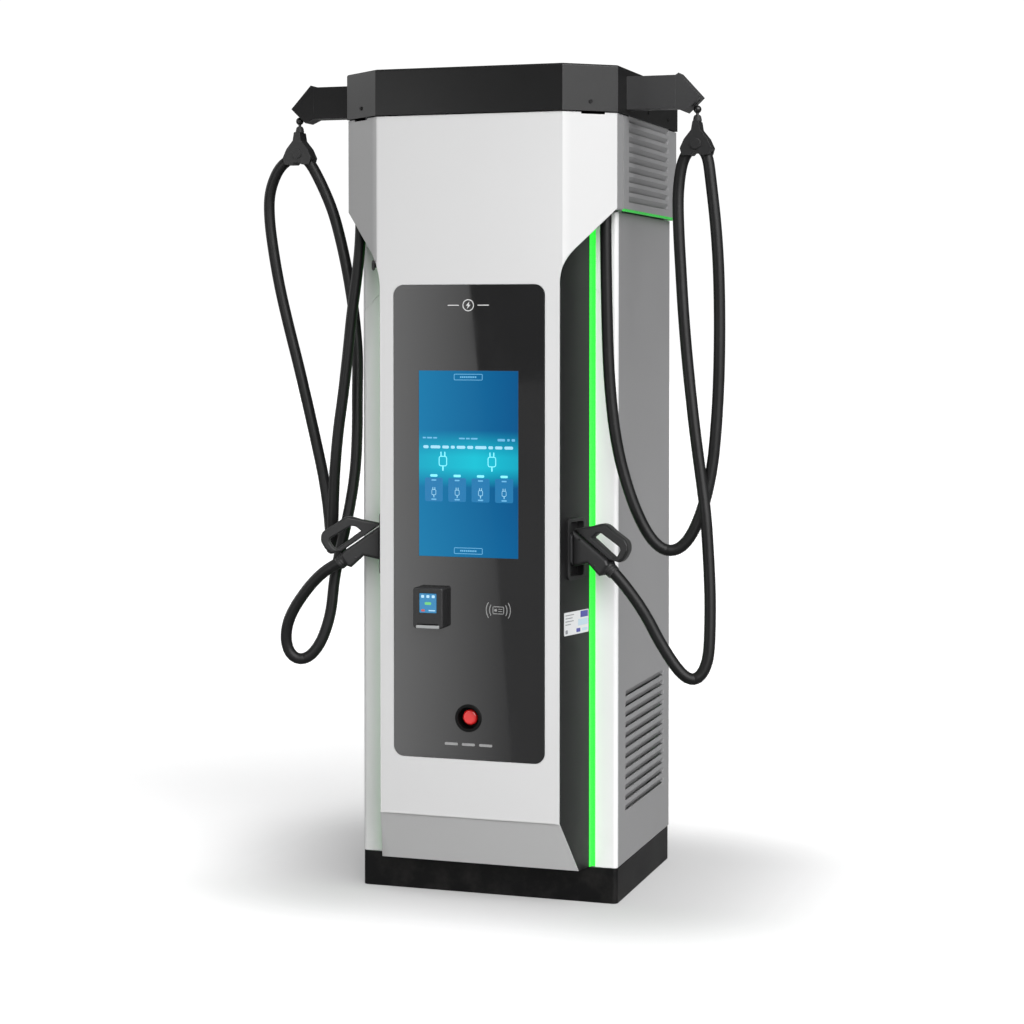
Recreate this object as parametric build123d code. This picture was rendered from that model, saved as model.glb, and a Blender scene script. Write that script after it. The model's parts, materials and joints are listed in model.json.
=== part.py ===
from build123d import *
import os
from math import sin, cos, radians, atan2

# Floor-standing DC charging post with two outlets. Millimetres, +Z up.
# Origin: centre of the plinth footprint on the floor. The front faces -Y, right is +X.
# X sizes marked "half" are measured from the middle plane.

# ---------------------------------------------------------------- driving sizes
PLINTH_X, PLINTH_Y, PLINTH_TOP = 392.0, 304.0, 102.0    # half width, half depth, height
SKIRT_T = 3.0                           # plinth skirt thickness
ANCHOR_X, ANCHOR_Y, ANCHOR_R = 330.0, 245.0, 9.0        # half spacings, hole radius
PLATE_TOP = PLINTH_TOP + 4              # top of the floor plate

FRONT_X, FRONT_Y = 279.0, -476.0        # front face: half width at head, plane
HEAD_X, CORNER_Y = 409.0, -370.0        # outer corner of the head chamfer
CHAMFER = atan2(CORNER_Y - FRONT_Y, HEAD_X - FRONT_X)   # chamfer slope, radians
HEAD_REAR = 320.0
HEAD_Z0, HEAD_Z1 = 1996.0, 2266.0       # lower edge of the head sides, top of the shells
CAP_Z0, CAP_Z1, CAP_OUT = 2269.0, 2401.0, 4.0   # bottom, top, how far it stands proud

PANEL_X = 270.0                         # half width of the lower front panel
SHEET = 2.5                             # sheet thickness of cover, head and bay panels
SLANT_Z0, SLANT_Z1 = 108.0, 262.0       # bottom slant of the cover: foot and top
SLANT_X, SLANT_Y = 300.0, -384.0        # half width and rear at its foot
TILT_Y, TILT_Z = -330.0, 126.0          # pivot of the front cover

GLASS_X, GLASS_Z0, GLASS_Z1 = 227.0, 427.0, 1782.0      # half width, bottom, top
GLASS_R, GLASS_T = 30.0, 6.0            # corner radius, thickness
GLASS_FRONT = FRONT_Y - 1
GLASS_REAR = GLASS_FRONT + GLASS_T
SCREEN_X, SCREEN_H, SCREEN_Z = 149.45, 265.7, 1272.0    # half width, half height, centre
ESTOP_Z = 546.0                         # emergency stop height

BAY_X, BAY_Y, BAY_ANGLE = 293.0, -394.0, 15.55  # point on bay panel, yaw of its normal
STRIP_X0, STRIP_X1 = 318.0, 326.0       # light strip

POST_X0, POST_X1 = 349.0, 389.0         # frame posts
POSTS_Y = ((-290, -250), (240, 280))    # front posts, rear posts
RAIL = 40                               # rail height

ARM_Z0, ARM_Z1, ARM_Y0, ARM_Y1 = 2284.0, 2378.0, -285.0, -225.0
ARM_END = 556.0
CORD_Y = -255.0
PULLEY_R, RIM_R = 13.0, 16.0            # groove and rim radius
PULLEY_X, PULLEY_Z = 611.0 - PULLEY_R, 2316.0
CORD_R = 2.0
WRAP_R = PULLEY_R + CORD_R + 0.2        # cord centre line around the pulley
DROP_X = PULLEY_X + WRAP_R              # hanging part of the cord
CABLE_R = 16.5                          # charging cable radius

HINGE_X, HINGE_Y = -380.0, 311.0        # rear door hinge axis
LOUVRE_PITCH, LOUVRE_H, LOUVRE_D = 30.4, 19.0, 13.0     # pitch, opening, depth
SIDES = (-1, 1)

# Centre points (x, y, z) of the charging cables, from the head to the connector
RIGHT_CABLE = [
    (370, -352, 2040), (370.2, -352, 1922), (371.8, -352, 1803.9), (374.4, -352, 1685.6),
    (378.4, -352.1, 1568.8), (386.5, -351.7, 1455.5), (400.5, -349.9, 1344),
    (423.4, -346.1, 1241.3), (458.7, -339.9, 1137.2), (500.5, -332.2, 1058.8),
    (541.1, -324.2, 1025), (577.4, -316.5, 1031.8), (614.7, -308.1, 1078.2),
    (647.1, -299.6, 1166.9), (666.9, -291.2, 1268.8), (676.8, -285.7, 1380.2),
    (682.1, -280.7, 1496.1), (683.4, -275.3, 1611.3), (681.9, -270.4, 1727.2),
    (677.4, -266.1, 1842.5), (668.2, -261.7, 1956), (654, -257, 2070.8),
    (641.5, -255, 2154.9), (622.8, -255, 2179.2), (598.7, -255, 2176.8),
    (572.7, -255, 2145.1), (558.2, -256.7, 2051.9), (560.6, -261.7, 1944.3),
    (568.3, -267.1, 1830), (577.1, -273.5, 1715), (588.7, -281.8, 1599),
    (602.6, -290.1, 1483.1), (618.4, -299.6, 1367.3), (636.5, -310, 1253.4),
    (654.1, -321.1, 1141.6), (665.4, -332.5, 1028.1), (674, -345, 905), (676, -356, 802),
    (673, -365, 727), (659, -372, 685), (639, -379, 665), (616, -386, 675),
    (587, -392, 707), (539, -402, 784), (513, -409, 837), (486, -415, 882),
    (459, -420, 920), (437, -424, 948), (412.6, -427.3, 975)]
LEFT_CABLE = [
    (-376, -354, 2040), (-377.9, -354.4, 1923.9), (-387.5, -357.9, 1813.7),
    (-402.8, -361.4, 1698.5), (-415.4, -362.7, 1580.9), (-429.8, -362.8, 1466.1),
    (-446.9, -361.7, 1350.7), (-458.9, -358.4, 1237), (-467.8, -349.2, 1125.4),
    (-478.6, -329, 1038.8), (-492.4, -301.3, 997.4), (-506.4, -272.3, 993.8),
    (-521, -242.4, 1023.6), (-534.6, -223.1, 1094.5), (-552.2, -218.5, 1199.9),
    (-577.5, -218.6, 1313.1), (-604.3, -221.5, 1429), (-631.7, -225.8, 1545.2),
    (-660.9, -230.5, 1661.4), (-687.2, -235.6, 1776.4), (-705.7, -241, 1886),
    (-717.3, -246.2, 1991.3), (-711.6, -251.7, 2075.7), (-672.8, -254.9, 2152.2),
    (-619.6, -255, 2178.5), (-590.8, -255, 2170.5), (-553.1, -257, 2111.3),
    (-505.8, -263.8, 2015.8), (-472.5, -271, 1912.2), (-445.1, -279.5, 1801.8),
    (-424, -288.1, 1689.5), (-411.2, -295.7, 1578.8), (-409, -303.5, 1463.2),
    (-406.8, -310.9, 1348.6), (-410.4, -318.8, 1235.7), (-423.8, -331.1, 1125),
    (-445, -345.6, 1010.2), (-462, -356, 915), (-472, -363, 813), (-500, -375.5, 724),
    (-540, -385.5, 677), (-572, -392, 672), (-592, -398, 697), (-599, -403.5, 736),
    (-592, -409, 780), (-570, -413.5, 826), (-538, -418, 871), (-500, -422, 915),
    (-458, -425.5, 951), (-412.6, -427.3, 975)]

os.makedirs("parts", exist_ok=True)


# ---------------------------------------------------------------- helpers
def box(x0, x1, y0, y1, z0, z1):
    """Box between limits; x0 and x1 may come in either order."""
    return Pos((x0 + x1) / 2, (y0 + y1) / 2, (z0 + z1) / 2) * Box(abs(x1 - x0), y1 - y0, z1 - z0)


def cyl_x(y, z, x0, x1, r):
    """Cylinder along X; x0 and x1 may come in either order."""
    return Pos((x0 + x1) / 2, y, z) * Rot(0, 90, 0) * Cylinder(r, abs(x1 - x0))


def cyl_y(x, z, y0, y1, r):
    return Pos(x, (y0 + y1) / 2, z) * Rot(90, 0, 0) * Cylinder(r, y1 - y0)


def cyl_z(x, y, z0, z1, r):
    return Pos(x, y, (z0 + z1) / 2) * Cylinder(r, z1 - z0)


def prism(points, plane, length):
    return extrude(plane * make_face(Polyline(*points, close=True)), amount=length)


def prism_x(points, x0, x1):
    return prism(points, Plane.YZ.offset(x0), x1 - x0)


def prism_y(points, y0, y1):
    return prism(points, Plane.XZ.offset(-y1), y1 - y0)


def prism_z(points, z0, z1):
    return prism(points, Plane.XY.offset(z0), z1 - z0)


def rounded(a0, a1, b0, b1, plane, length, r):
    """Plate with four rounded corners, drawn on plane."""
    outline = plane * Pos((a0 + a1) / 2, (b0 + b1) / 2) * RectangleRounded(a1 - a0, b1 - b0, r)
    return extrude(outline, amount=length)


def rounded_x(y0, y1, z0, z1, x0, x1, r):
    return rounded(y0, y1, z0, z1, Plane.YZ.offset(x0), x1 - x0, r)


def rounded_y(x0, x1, z0, z1, y0, y1, r):
    return rounded(x0, x1, z0, z1, Plane.XZ.offset(-y1), y1 - y0, r)


def rounded_z(x0, x1, y0, y1, z0, z1, r):
    return rounded(x0, x1, y0, y1, Plane.XY.offset(z0), z1 - z0, r)


def mirrored(shape):
    return mirror(shape, about=Plane.YZ)


def soft(shape, edges, r):
    """Fillet that falls back to smaller radii, then to sharp edges, where the kernel fails."""
    for radius in (r, r * 0.6, r * 0.3):
        try:
            out = fillet(edges, radius)
            if out.is_valid:
                return out
        except Exception:
            pass
    return shape


def soft_front(shape, r):
    return soft(shape, shape.faces().sort_by(Axis.Y)[0].edges(), r)


def fuse(shapes):
    result = shapes[0]
    for shape in shapes[1:]:
        result += shape
    return result


def largest(shape):
    return shape.solids().sort_by(SortBy.VOLUME)[-1]


def put(name, shape):
    solids = shape.solids()
    whole = solids[0] if len(solids) == 1 else Compound(children=list(solids))
    export_step(whole, f"parts/{name}.step")


def put_group(name, shapes):
    put(name, Compound(children=shapes))


def put_pair(name, shape):
    put(name + "_right", shape)
    put(name + "_left", mirrored(shape))


def head_outline(offset, rear):
    """Plan of the head, moved outward by offset and ending at y = rear."""
    front_x = FRONT_X + offset * (1 - cos(CHAMFER)) / sin(CHAMFER)
    corner_y = CORNER_Y - offset * (1 - sin(CHAMFER)) / cos(CHAMFER)
    front_y = FRONT_Y - offset
    side_x = HEAD_X + offset
    return [(-front_x, front_y), (front_x, front_y), (side_x, corner_y),
            (side_x, rear), (-side_x, rear), (-side_x, corner_y)]


# ---------------------------------------------------------------- plinth
inner_x, inner_y = PLINTH_X - SKIRT_T, PLINTH_Y - SKIRT_T
plinth = rounded_z(-inner_x, inner_x, -inner_y, inner_y, 0, PLINTH_TOP, 11.5)
plinth -= box(-inner_x + 6, inner_x - 6, -inner_y + 6, inner_y - 6, 8, PLINTH_TOP - 6)
plinth -= box(-275, 275, -190, 190, -1, 9)
plinth -= box(-320, 320, -232, 232, PLINTH_TOP - 7, PLINTH_TOP + 1)
for side in SIDES:
    for end in SIDES:
        plinth -= cyl_z(side * ANCHOR_X, end * ANCHOR_Y, -1, 9, ANCHOR_R)
put("plinth_frame", plinth)
skirt = rounded_z(-PLINTH_X, PLINTH_X, -PLINTH_Y, PLINTH_Y, 1, PLINTH_TOP, 14)
skirt -= rounded_z(-inner_x, inner_x, -inner_y, inner_y, 0, PLINTH_TOP + 1, 11)
put("plinth_skirt", skirt)

# floor plate of the cabinet, with gland holes and the two tilt brackets of the front cover
GLANDS = [(-90, 60, 32), (0, 60, 32), (90, 60, 32), (-45, -60, 16), (45, -60, 16)]  # x, y, size
HOLE_RATIO, HEX_RATIO, BORE_RATIO = 0.62, 0.85, 0.4     # radii over gland size
BRACKET_TOP = PLINTH_TOP + 42
plate = box(-386, 386, -297, 298, PLINTH_TOP, PLATE_TOP)
for x, y, size in GLANDS:
    plate -= cyl_z(x, y, PLINTH_TOP - 1, PLINTH_TOP + 5, size * HOLE_RATIO)
for side in SIDES:
    x0, x1 = side * 240 - 4, side * 240 + 4
    bracket = prism_x([(-300, PLATE_TOP), (-345, PLINTH_TOP + 10),
                       (-345, BRACKET_TOP), (-300, BRACKET_TOP)], x0, x1)
    bracket += box(x0, x1, -300, -262, PLATE_TOP, BRACKET_TOP)
    plate += bracket
plate -= cyl_x(TILT_Y, TILT_Z, -260, 260, 6.05)
put("base_plate", plate)

glands = []
for x, y, size in GLANDS:
    hexagon = RegularPolygon(size * HEX_RATIO, 6)
    gland = cyl_z(x, y, PLINTH_TOP - 10, PLINTH_TOP + 24, size * HOLE_RATIO - 0.05)
    gland += Pos(x, y, PLATE_TOP) * extrude(hexagon, amount=12)
    gland += Pos(x, y, PLINTH_TOP - 7) * extrude(hexagon, amount=7)
    gland -= cyl_z(x, y, PLINTH_TOP - 20, PLINTH_TOP + 40, size * BORE_RATIO)
    glands.append(gland)
put_group("cable_glands", glands)


# ---------------------------------------------------------------- welded frame
def tube(axis, *limits, wall=3):
    """Rectangular tube between ascending x, y, z limits, open along axis."""
    bore = []
    for i, limit in enumerate(limits):
        inset = -1 if "xyz"[i // 2] == axis else wall
        bore.append(limit - inset if i % 2 else limit + inset)
    return box(*limits) - box(*bore)


MID_RAIL_Z, TOP_RAIL_Z = 1942, 2222     # undersides
tubes = []
for side in SIDES:
    x0, x1 = sorted((side * POST_X0, side * POST_X1))
    for (y0, y1), top in zip(POSTS_Y, (ARM_Z0, TOP_RAIL_Z + RAIL)):
        tubes.append(tube("z", x0, x1, y0, y1, PLATE_TOP, top))
    for z in (PLATE_TOP, 1000, MID_RAIL_Z, TOP_RAIL_Z):
        tubes.append(tube("y", x0, x1, -250, 240, z, z + RAIL))
for z in (PLATE_TOP, MID_RAIL_Z, TOP_RAIL_Z):
    tubes.append(tube("x", -POST_X0, POST_X0, *POSTS_Y[1], z, z + RAIL))
tubes.append(tube("x", -POST_X0, POST_X0, *POSTS_Y[0], TOP_RAIL_Z, TOP_RAIL_Z + RAIL))
put("welded_frame", fuse(tubes))


# ---------------------------------------------------------------- louvred side panels
def add_louvres(panel, count, z0, y0, y1, face_x, wall, pitch=LOUVRE_PITCH, side=1):
    """Cut slots and add inward hoods to a side wall whose outer face is at side * face_x."""
    slots, hoods = [], []
    deep = face_x - LOUVRE_D
    for i in range(count):
        low = z0 + i * pitch
        high = low + LOUVRE_H
        slots.append(box(face_x - wall - 1, face_x + 1, y0, y1, low, high))
        hoods.append(prism_y([(face_x - wall * 0.2, high), (deep, low + 3), (deep, low),
                              (deep + 1.8, low), (face_x, high - 1.6), (face_x, high)], y0, y1))
        cheek = [(face_x, high), (deep, low), (face_x, low)]
        hoods.append(prism_y(cheek, y0, y0 + 1.5))
        hoods.append(prism_y(cheek, y1 - 1.5, y1))
    if side < 0:
        slots = [mirrored(slot) for slot in slots]
        hoods = [mirrored(hood) for hood in hoods]
    return (panel - slots) + hoods


side_panel = box(PLINTH_X - 3, PLINTH_X, -290, 304, PLINTH_TOP + 2, HEAD_Z0 - 5)
put_pair("side_panel", add_louvres(side_panel, 12, 251, -213, 238, PLINTH_X, 3))

# head surround: left, rear and right walls of the head in one bent sheet
surround = box(-HEAD_X, HEAD_X, -299, HEAD_REAR, HEAD_Z0 + 4, HEAD_Z1)
surround -= box(-HEAD_X + SHEET, HEAD_X - SHEET, -300, HEAD_REAR - SHEET, HEAD_Z0, HEAD_Z1 + 1)
for side in (1, -1):
    surround = add_louvres(surround, 9, 2021, -246, 218, HEAD_X, SHEET, pitch=28.6, side=side)
put("head_surround", surround)

# thin trim under the head surround
trim = box(-HEAD_X - 0.5, HEAD_X + 0.5, -299, HEAD_REAR + 0.5, HEAD_Z0 - 3, HEAD_Z0 + 4)
trim -= box(-HEAD_X + 6, HEAD_X - 6, -300, HEAD_REAR - 6, HEAD_Z0 - 4, HEAD_Z0 + 5)
put("accent_trim", trim)

# head floor: closes the underside of the head, two lobes carry the cable outlets
lobe = prism_z([(322, -299), (322, -408), (344, -408), (404, -362), (404, -299)],
               HEAD_Z0 - 1, HEAD_Z0 + 3)
cut_z = (HEAD_Z0 - 5, HEAD_Z0 + 5)
floor = box(-HEAD_X + 7, HEAD_X - 7, -299, HEAD_REAR - 7, HEAD_Z0 - 1, HEAD_Z0 + 3)
floor += lobe
floor += mirrored(lobe)
floor -= box(-348, 348, -257, 239, *cut_z)
for side in SIDES:
    for y0, y1 in POSTS_Y:
        floor -= box(side * (POST_X0 - 0.05), side * (POST_X1 + 0.05), y0 - 0.05, y1 + 0.05, *cut_z)
for x, y, _ in (RIGHT_CABLE[0], LEFT_CABLE[0]):
    floor -= cyl_z(x, y, *cut_z, CABLE_R + 1)
put("head_floor", largest(floor))


# ---------------------------------------------------------------- corner columns
def round_corner(block, x, y, r):
    """Fillet the upright edge of block at its right front corner (x, y)."""
    edges = block.edges().filter_by(Axis.Z).filter_by(
        lambda edge: edge.center().X > x - 1 and edge.center().Y < y + 1)
    return fillet(edges, r)


column = box(STRIP_X1 + 1, PLINTH_X, -PLINTH_Y, -290.5, PLINTH_TOP + 2, HEAD_Z0 - 5)
column = round_corner(column, PLINTH_X, -PLINTH_Y, 12)
hollow = box(STRIP_X1, PLINTH_X - 3, -PLINTH_Y + 3, -280, PLINTH_TOP, HEAD_Z0)
column -= round_corner(hollow, PLINTH_X - 3, -PLINTH_Y + 3, 9)
column -= prism_y([(STRIP_X1 - 2, 1774.6), (PLINTH_X + 2, 1701.6), (PLINTH_X + 2, 1698.1),
                   (STRIP_X1 - 2, 1771.1)], -PLINTH_Y - 1, -PLINTH_Y + 1.9)    # sloping groove
put_pair("column", column)

# ---------------------------------------------------------------- charging bay panels
BAY = Pos(BAY_X, BAY_Y, 0) * Rot(0, 0, -BAY_ANGLE)      # bay frame: x outward, y to the rear
BAY_FRONT, BAY_REAR = -78.0, 90.5       # ends of the panel along bay y
HOLSTER_Y, HOLSTER_Z0, HOLSTER_Z1 = 41, 950, 1115       # opening: half width, bottom, top


def bay_point(out, along):
    """Plan point at bay coordinates (out, along)."""
    yaw = radians(BAY_ANGLE)
    return (BAY_X + out * cos(yaw) + along * sin(yaw), BAY_Y - out * sin(yaw) + along * cos(yaw))


def holster_block(grow, x0, x1, r):
    """Rounded block following the holster opening, grown on all four sides."""
    return rounded_x(-HOLSTER_Y - grow, HOLSTER_Y + grow, HOLSTER_Z0 - grow,
                     HOLSTER_Z1 + grow, x0, x1, r)


bay = prism_z([bay_point(0, BAY_FRONT), bay_point(0, BAY_REAR), (STRIP_X0 - 0.6, -304),
               (STRIP_X0 - 0.6, -262), (STRIP_X0 - 3.1, -262), (STRIP_X0 - 3.1, -305),
               bay_point(-SHEET, BAY_REAR - 1), bay_point(-SHEET, BAY_FRONT)],
              PLINTH_TOP + 5, HEAD_Z0 - 2)
bay = bay & prism_x([(-472, 2100), (-472, SLANT_Z1 + 2), (SLANT_Y + 5, SLANT_Z0 - 2),
                     (SLANT_Y + 5, 90), (-200, 90), (-200, 2100)], 200, 420)
bay -= BAY * holster_block(0, -6, 4, 10)
put_pair("bay_panel", bay)

# holster: bezel, tub and socket for the plug
holster = holster_block(5, 0, 6, 13)
holster += holster_block(-0.1, -62, 0, 9.9)
holster -= holster_block(-5, -16, 7, 8)
holster -= rounded_x(-29, 29, 987, 1075, -58, -15, 14)
put_pair("holster", BAY * holster)

strip_z = (PLINTH_TOP + 5, HEAD_Z0 - 4)
strip = box(STRIP_X0, STRIP_X1, -305, -292, *strip_z)
strip = fillet(strip.edges().filter_by(Axis.Z).filter_by(lambda e: e.center().Y < -304), 1.5)
strip += prism_z([bay_point(0.05, 75.5), bay_point(1.4, 75.5), bay_point(1.4, 91.5),
                  (STRIP_X0 + 3, -305), (STRIP_X0 + 3, -303), (STRIP_X0 + 0.05, -303),
                  (STRIP_X0 - 0.45, -306.2)], *strip_z)
put_pair("light_strip", strip)

# ---------------------------------------------------------------- cap and its screws
SCREW_Z = 2296
SCREW_R, SCREW_HOLE_R, SCREW_HEAD_R, SCREW_HEAD_T = 3.0, 3.05, 5.5, 2.6
cap_x = HEAD_X + CAP_OUT
cap = prism_z(head_outline(CAP_OUT, HEAD_REAR + CAP_OUT), CAP_Z0, CAP_Z1)
cap = soft(cap, cap.edges().filter_by(Axis.Z), 5)
cap = soft(cap, cap.faces().sort_by(Axis.Z)[-1].edges(), 6)
cap -= prism_z(head_outline(CAP_OUT - 3, HEAD_REAR + CAP_OUT - 3), CAP_Z0 - 1, CAP_Z1 - 3)
for side in SIDES:                      # arm openings
    cap -= box(side * 400, side * 420, ARM_Y0 - 0.3, ARM_Y1 + 0.3, ARM_Z0 - 0.3, ARM_Z1 + 0.3)
screws = []
for side in SIDES:                      # one socket screw in each chamfer
    out_x, out_y = side * sin(CHAMFER), -cos(CHAMFER)
    seat = Plane(origin=(side * (FRONT_X + HEAD_X) / 2 + out_x * CAP_OUT,
                         (FRONT_Y + CORNER_Y) / 2 + out_y * CAP_OUT, SCREW_Z),
                 z_dir=(out_x, out_y, 0))
    cap -= seat * Pos(0, 0, -4) * Cylinder(SCREW_HOLE_R, 12)
    screw = seat * Pos(0, 0, -4) * Cylinder(SCREW_R, 11)
    screw += seat * Pos(0, 0, 1.4) * Cylinder(SCREW_HEAD_R, SCREW_HEAD_T)
    screw -= seat * Pos(0, 0, 1.8) * extrude(RegularPolygon(2.6, 6), amount=2)
    screws.append(screw)
for side in SIDES:                      # two plain screws in each side
    for y in (-40, 200):
        cap -= cyl_x(y, SCREW_Z, side * (cap_x - 20), side * (cap_x + 4), SCREW_HOLE_R)
        screw = cyl_x(y, SCREW_Z, side * (cap_x - 13), side * cap_x, SCREW_R)
        screw += cyl_x(y, SCREW_Z, side * cap_x, side * (cap_x + SCREW_HEAD_T), SCREW_HEAD_R)
        screws.append(screw)
put("cap_shell", cap)
put_group("cap_screws", screws)

# ---------------------------------------------------------------- cable arms
arm = box(330, ARM_END, ARM_Y0, ARM_Y1, ARM_Z0, ARM_Z1)
arm -= box(329, ARM_END + 1, ARM_Y0 + 4, ARM_Y1 - 4, ARM_Z0 + 4, ARM_Z1 - 4)
web = box(340, 344, ARM_Y0, ARM_Y1, ARM_Z0, ARM_Z1)
arm += web - cyl_x(CORD_Y, PULLEY_Z + PULLEY_R, 300, 400, 8)
put_pair("arm", arm)

# hollow tip with a slot for the cord and the pulley axle
tip = prism_y([(ARM_END, ARM_Z1), (ARM_END + 9, ARM_Z1 + 6), (628, 2315), (613, 2300),
               (583, 2272), (ARM_END, ARM_Z0)], ARM_Y0, ARM_Y1)
tip -= prism_y([(ARM_END - 1, ARM_Z1 - 4), (ARM_END + 9, ARM_Z1 + 1), (622, 2315), (612, 2305),
                (583, 2278), (ARM_END - 1, ARM_Z0 + 3)], ARM_Y0 + 3, ARM_Y1 - 3)
tip -= box(601, 621, CORD_Y - 6, CORD_Y + 6, 2280, 2325)
tip += cyl_y(PULLEY_X, PULLEY_Z, ARM_Y0 + 2, ARM_Y1 - 2, 4)
put_pair("arm_tip", largest(tip))

GROOVE_R = 2.2
pulley_frame = Pos(PULLEY_X, CORD_Y, PULLEY_Z) * Rot(90, 0, 0)
pulley = cyl_y(PULLEY_X, PULLEY_Z, CORD_Y - 7, CORD_Y + 7, RIM_R)
pulley -= pulley_frame * Torus(PULLEY_R + GROOVE_R, GROOVE_R)
pulley -= cyl_y(PULLEY_X, PULLEY_Z, CORD_Y - 8, CORD_Y + 8, 4.05)
for i in range(5):                      # ring of holes
    turn = radians(i * 72)
    pulley -= cyl_y(PULLEY_X + 8.6 * cos(turn), PULLEY_Z + 8.6 * sin(turn),
                    CORD_Y - 8, CORD_Y + 8, 2.0)
put_pair("pulley", pulley)

cord = cyl_z(DROP_X, CORD_Y, 2292.7, PULLEY_Z, CORD_R)
cord += cyl_x(CORD_Y, PULLEY_Z + WRAP_R, 262, PULLEY_X, CORD_R)
cord += (pulley_frame * Torus(WRAP_R, CORD_R)) & box(
    PULLEY_X, PULLEY_X + 53, CORD_Y - 10, CORD_Y + 10, PULLEY_Z, PULLEY_Z + 40)
put_pair("cord", largest(cord))

# spring balancers that keep the cords tight, on the top rails
balancers = []
for side in SIDES:
    x = side * 200
    balancer = cyl_y(x, 2309, CORD_Y - 32, CORD_Y + 32, 46)
    balancer += box(x - 50, x + 50, CORD_Y - 32, CORD_Y + 28, 2262, 2272)
    balancer = soft(balancer, balancer.edges().filter_by(GeomType.CIRCLE), 4)
    balancer += cyl_x(CORD_Y, PULLEY_Z + PULLEY_R, side * 235, side * 258, 6)
    balancers.append(balancer)
put_group("cord_balancers", balancers)

# stop ball with thimble, and the cable hanger below it
stop = Pos(DROP_X, CORD_Y, 2281) * Sphere(11.5)
stop += cyl_z(DROP_X, CORD_Y, 2262, 2276, 4.5)
stop += Pos(DROP_X, CORD_Y, 2256) * Cylinder(8.5, 17)
put_pair("cord_stop", stop)
HANGER = [(-9, 2247), (9, 2247), (13, 2222), (34, 2196), (46, 2170), (40, 2150), (14, 2150),
          (8, 2157), (-8, 2157), (-14, 2150), (-40, 2150), (-46, 2170), (-34, 2196),
          (-13, 2222)]                  # x from the cord, z
hanger = prism_y([(DROP_X + x, z) for x, z in HANGER], CORD_Y - 25, CORD_Y + 25)
hanger = soft(hanger, hanger.edges().filter_by(Axis.Y), 4)
hanger += cyl_y(DROP_X, 2182, CORD_Y - 30, CORD_Y + 30, 15)


# ---------------------------------------------------------------- charging cables
def cable(centres, r):
    """Round cable through the centre points, as a ruled loft of circles."""
    points = [Vector(*centre) for centre in centres]
    last = len(points) - 1
    x_dir = Vector(0, 1, 0)             # carried along so that the sections don't twist
    sections = []
    for i, point in enumerate(points):
        tangent = (points[min(i + 1, last)] - points[max(i - 1, 0)]).normalized()
        x_dir = (x_dir - tangent * x_dir.dot(tangent)).normalized()
        sections.append(Plane(origin=point, x_dir=x_dir, z_dir=tangent) * Circle(r))
    return loft(sections, ruled=True)


# ---------------------------------------------------------------- connectors (bay frame)
body = prism_y([(4, 1084), (4, 983), (54, 995), (91, 961), (102, 965), (122, 993),
                (115, 1007)], -25.5, 25.5)
body = soft(body, body.edges().filter_by(lambda e: abs(e.center().Y) > 25), 9)

# looped handle, trimmed where it meets the body
handle = prism_y([(4.0, 1087.5), (103.4, 1107), (170.0, 1066), (178.7, 1052), (178.7, 1036),
                  (166.1, 1014), (148.8, 1003), (119.8, 1007.5)], -15, 15)
handle -= prism_y([(61.9, 1067), (77.3, 1080), (92.8, 1082), (154.5, 1045), (156.5, 1036),
                   (147.8, 1021), (138.1, 1014), (129.4, 1017)], -20, 20)
handle = soft(handle, handle.edges().filter_by(lambda e: abs(e.center().Y) > 14), 4)
handle -= prism_y([(0, 1087.4), (0, 960), (140, 960), (140, 998), (118, 1007.3)], -40, 40)

# plug insert with five small and two large contact holes; the large ones hold pins
CONTACTS = [(-12, 1058, 3.2), (12, 1058, 3.2), (-17, 1045, 3.2), (17, 1045, 3.2),
            (0, 1043, 3.2), (-14, 1006, 8), (14, 1006, 8)]     # y, z, radius
insert = rounded_x(-28, 28, 988, 1074, -44, 4, 14)
for y, z, radius in CONTACTS:
    insert -= cyl_x(y, z, -46, -14, radius)
for y, z, _ in CONTACTS[-2:]:
    insert += cyl_x(y, z, -40, -10, 4)

# two-step cable boot, sloping down and outward
slope_x, slope_z = cos(radians(-42)), sin(radians(-42))
boot = Plane(origin=(110, 0, 986), z_dir=(slope_x, 0, slope_z)) * extrude(Circle(20.5), amount=8)
boot += Plane(origin=(110 + 8 * slope_x, 0, 986 + 8 * slope_z),
              z_dir=(slope_x, 0, slope_z)) * extrude(Circle(18.8), amount=18, taper=1)
boot = boot - body - handle

CONNECTOR = {"body": body, "handle": handle, "insert": insert, "boot": boot}
for side, centres in (("right", RIGHT_CABLE), ("left", LEFT_CABLE)):
    put(f"cable_{side}", cable(centres, CABLE_R))
    hook = hanger if side == "right" else mirrored(hanger)
    put(f"cable_hanger_{side}", largest(hook - cable(centres, CABLE_R + 0.3)))
    cutter = cable(centres, CABLE_R + 0.05)
    for name, shape in CONNECTOR.items():
        placed = BAY * shape
        if side == "left":
            placed = mirrored(placed)
        if name != "insert":
            placed = placed - cutter
        put(f"connector_{name}_{side}", largest(placed))


# ---------------------------------------------------------------- front cover
def glass_block(grow, y0, y1):
    """Rounded block following the glass outline, grown on all four sides."""
    return rounded_y(-GLASS_X - grow, GLASS_X + grow, GLASS_Z0 - grow, GLASS_Z1 + grow,
                     y0, y1, GLASS_R + grow)


wing = prism_z(head_outline(0, -306), SLANT_Z1 - 4, HEAD_Z1)
wing -= prism_z(head_outline(-SHEET, -300), SLANT_Z1 - 10, HEAD_Z1 - SHEET)
wing -= box(-HEAD_X + 30, HEAD_X - 30, -440, -300, HEAD_Z1 - 5, HEAD_Z1 + 1)

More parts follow.
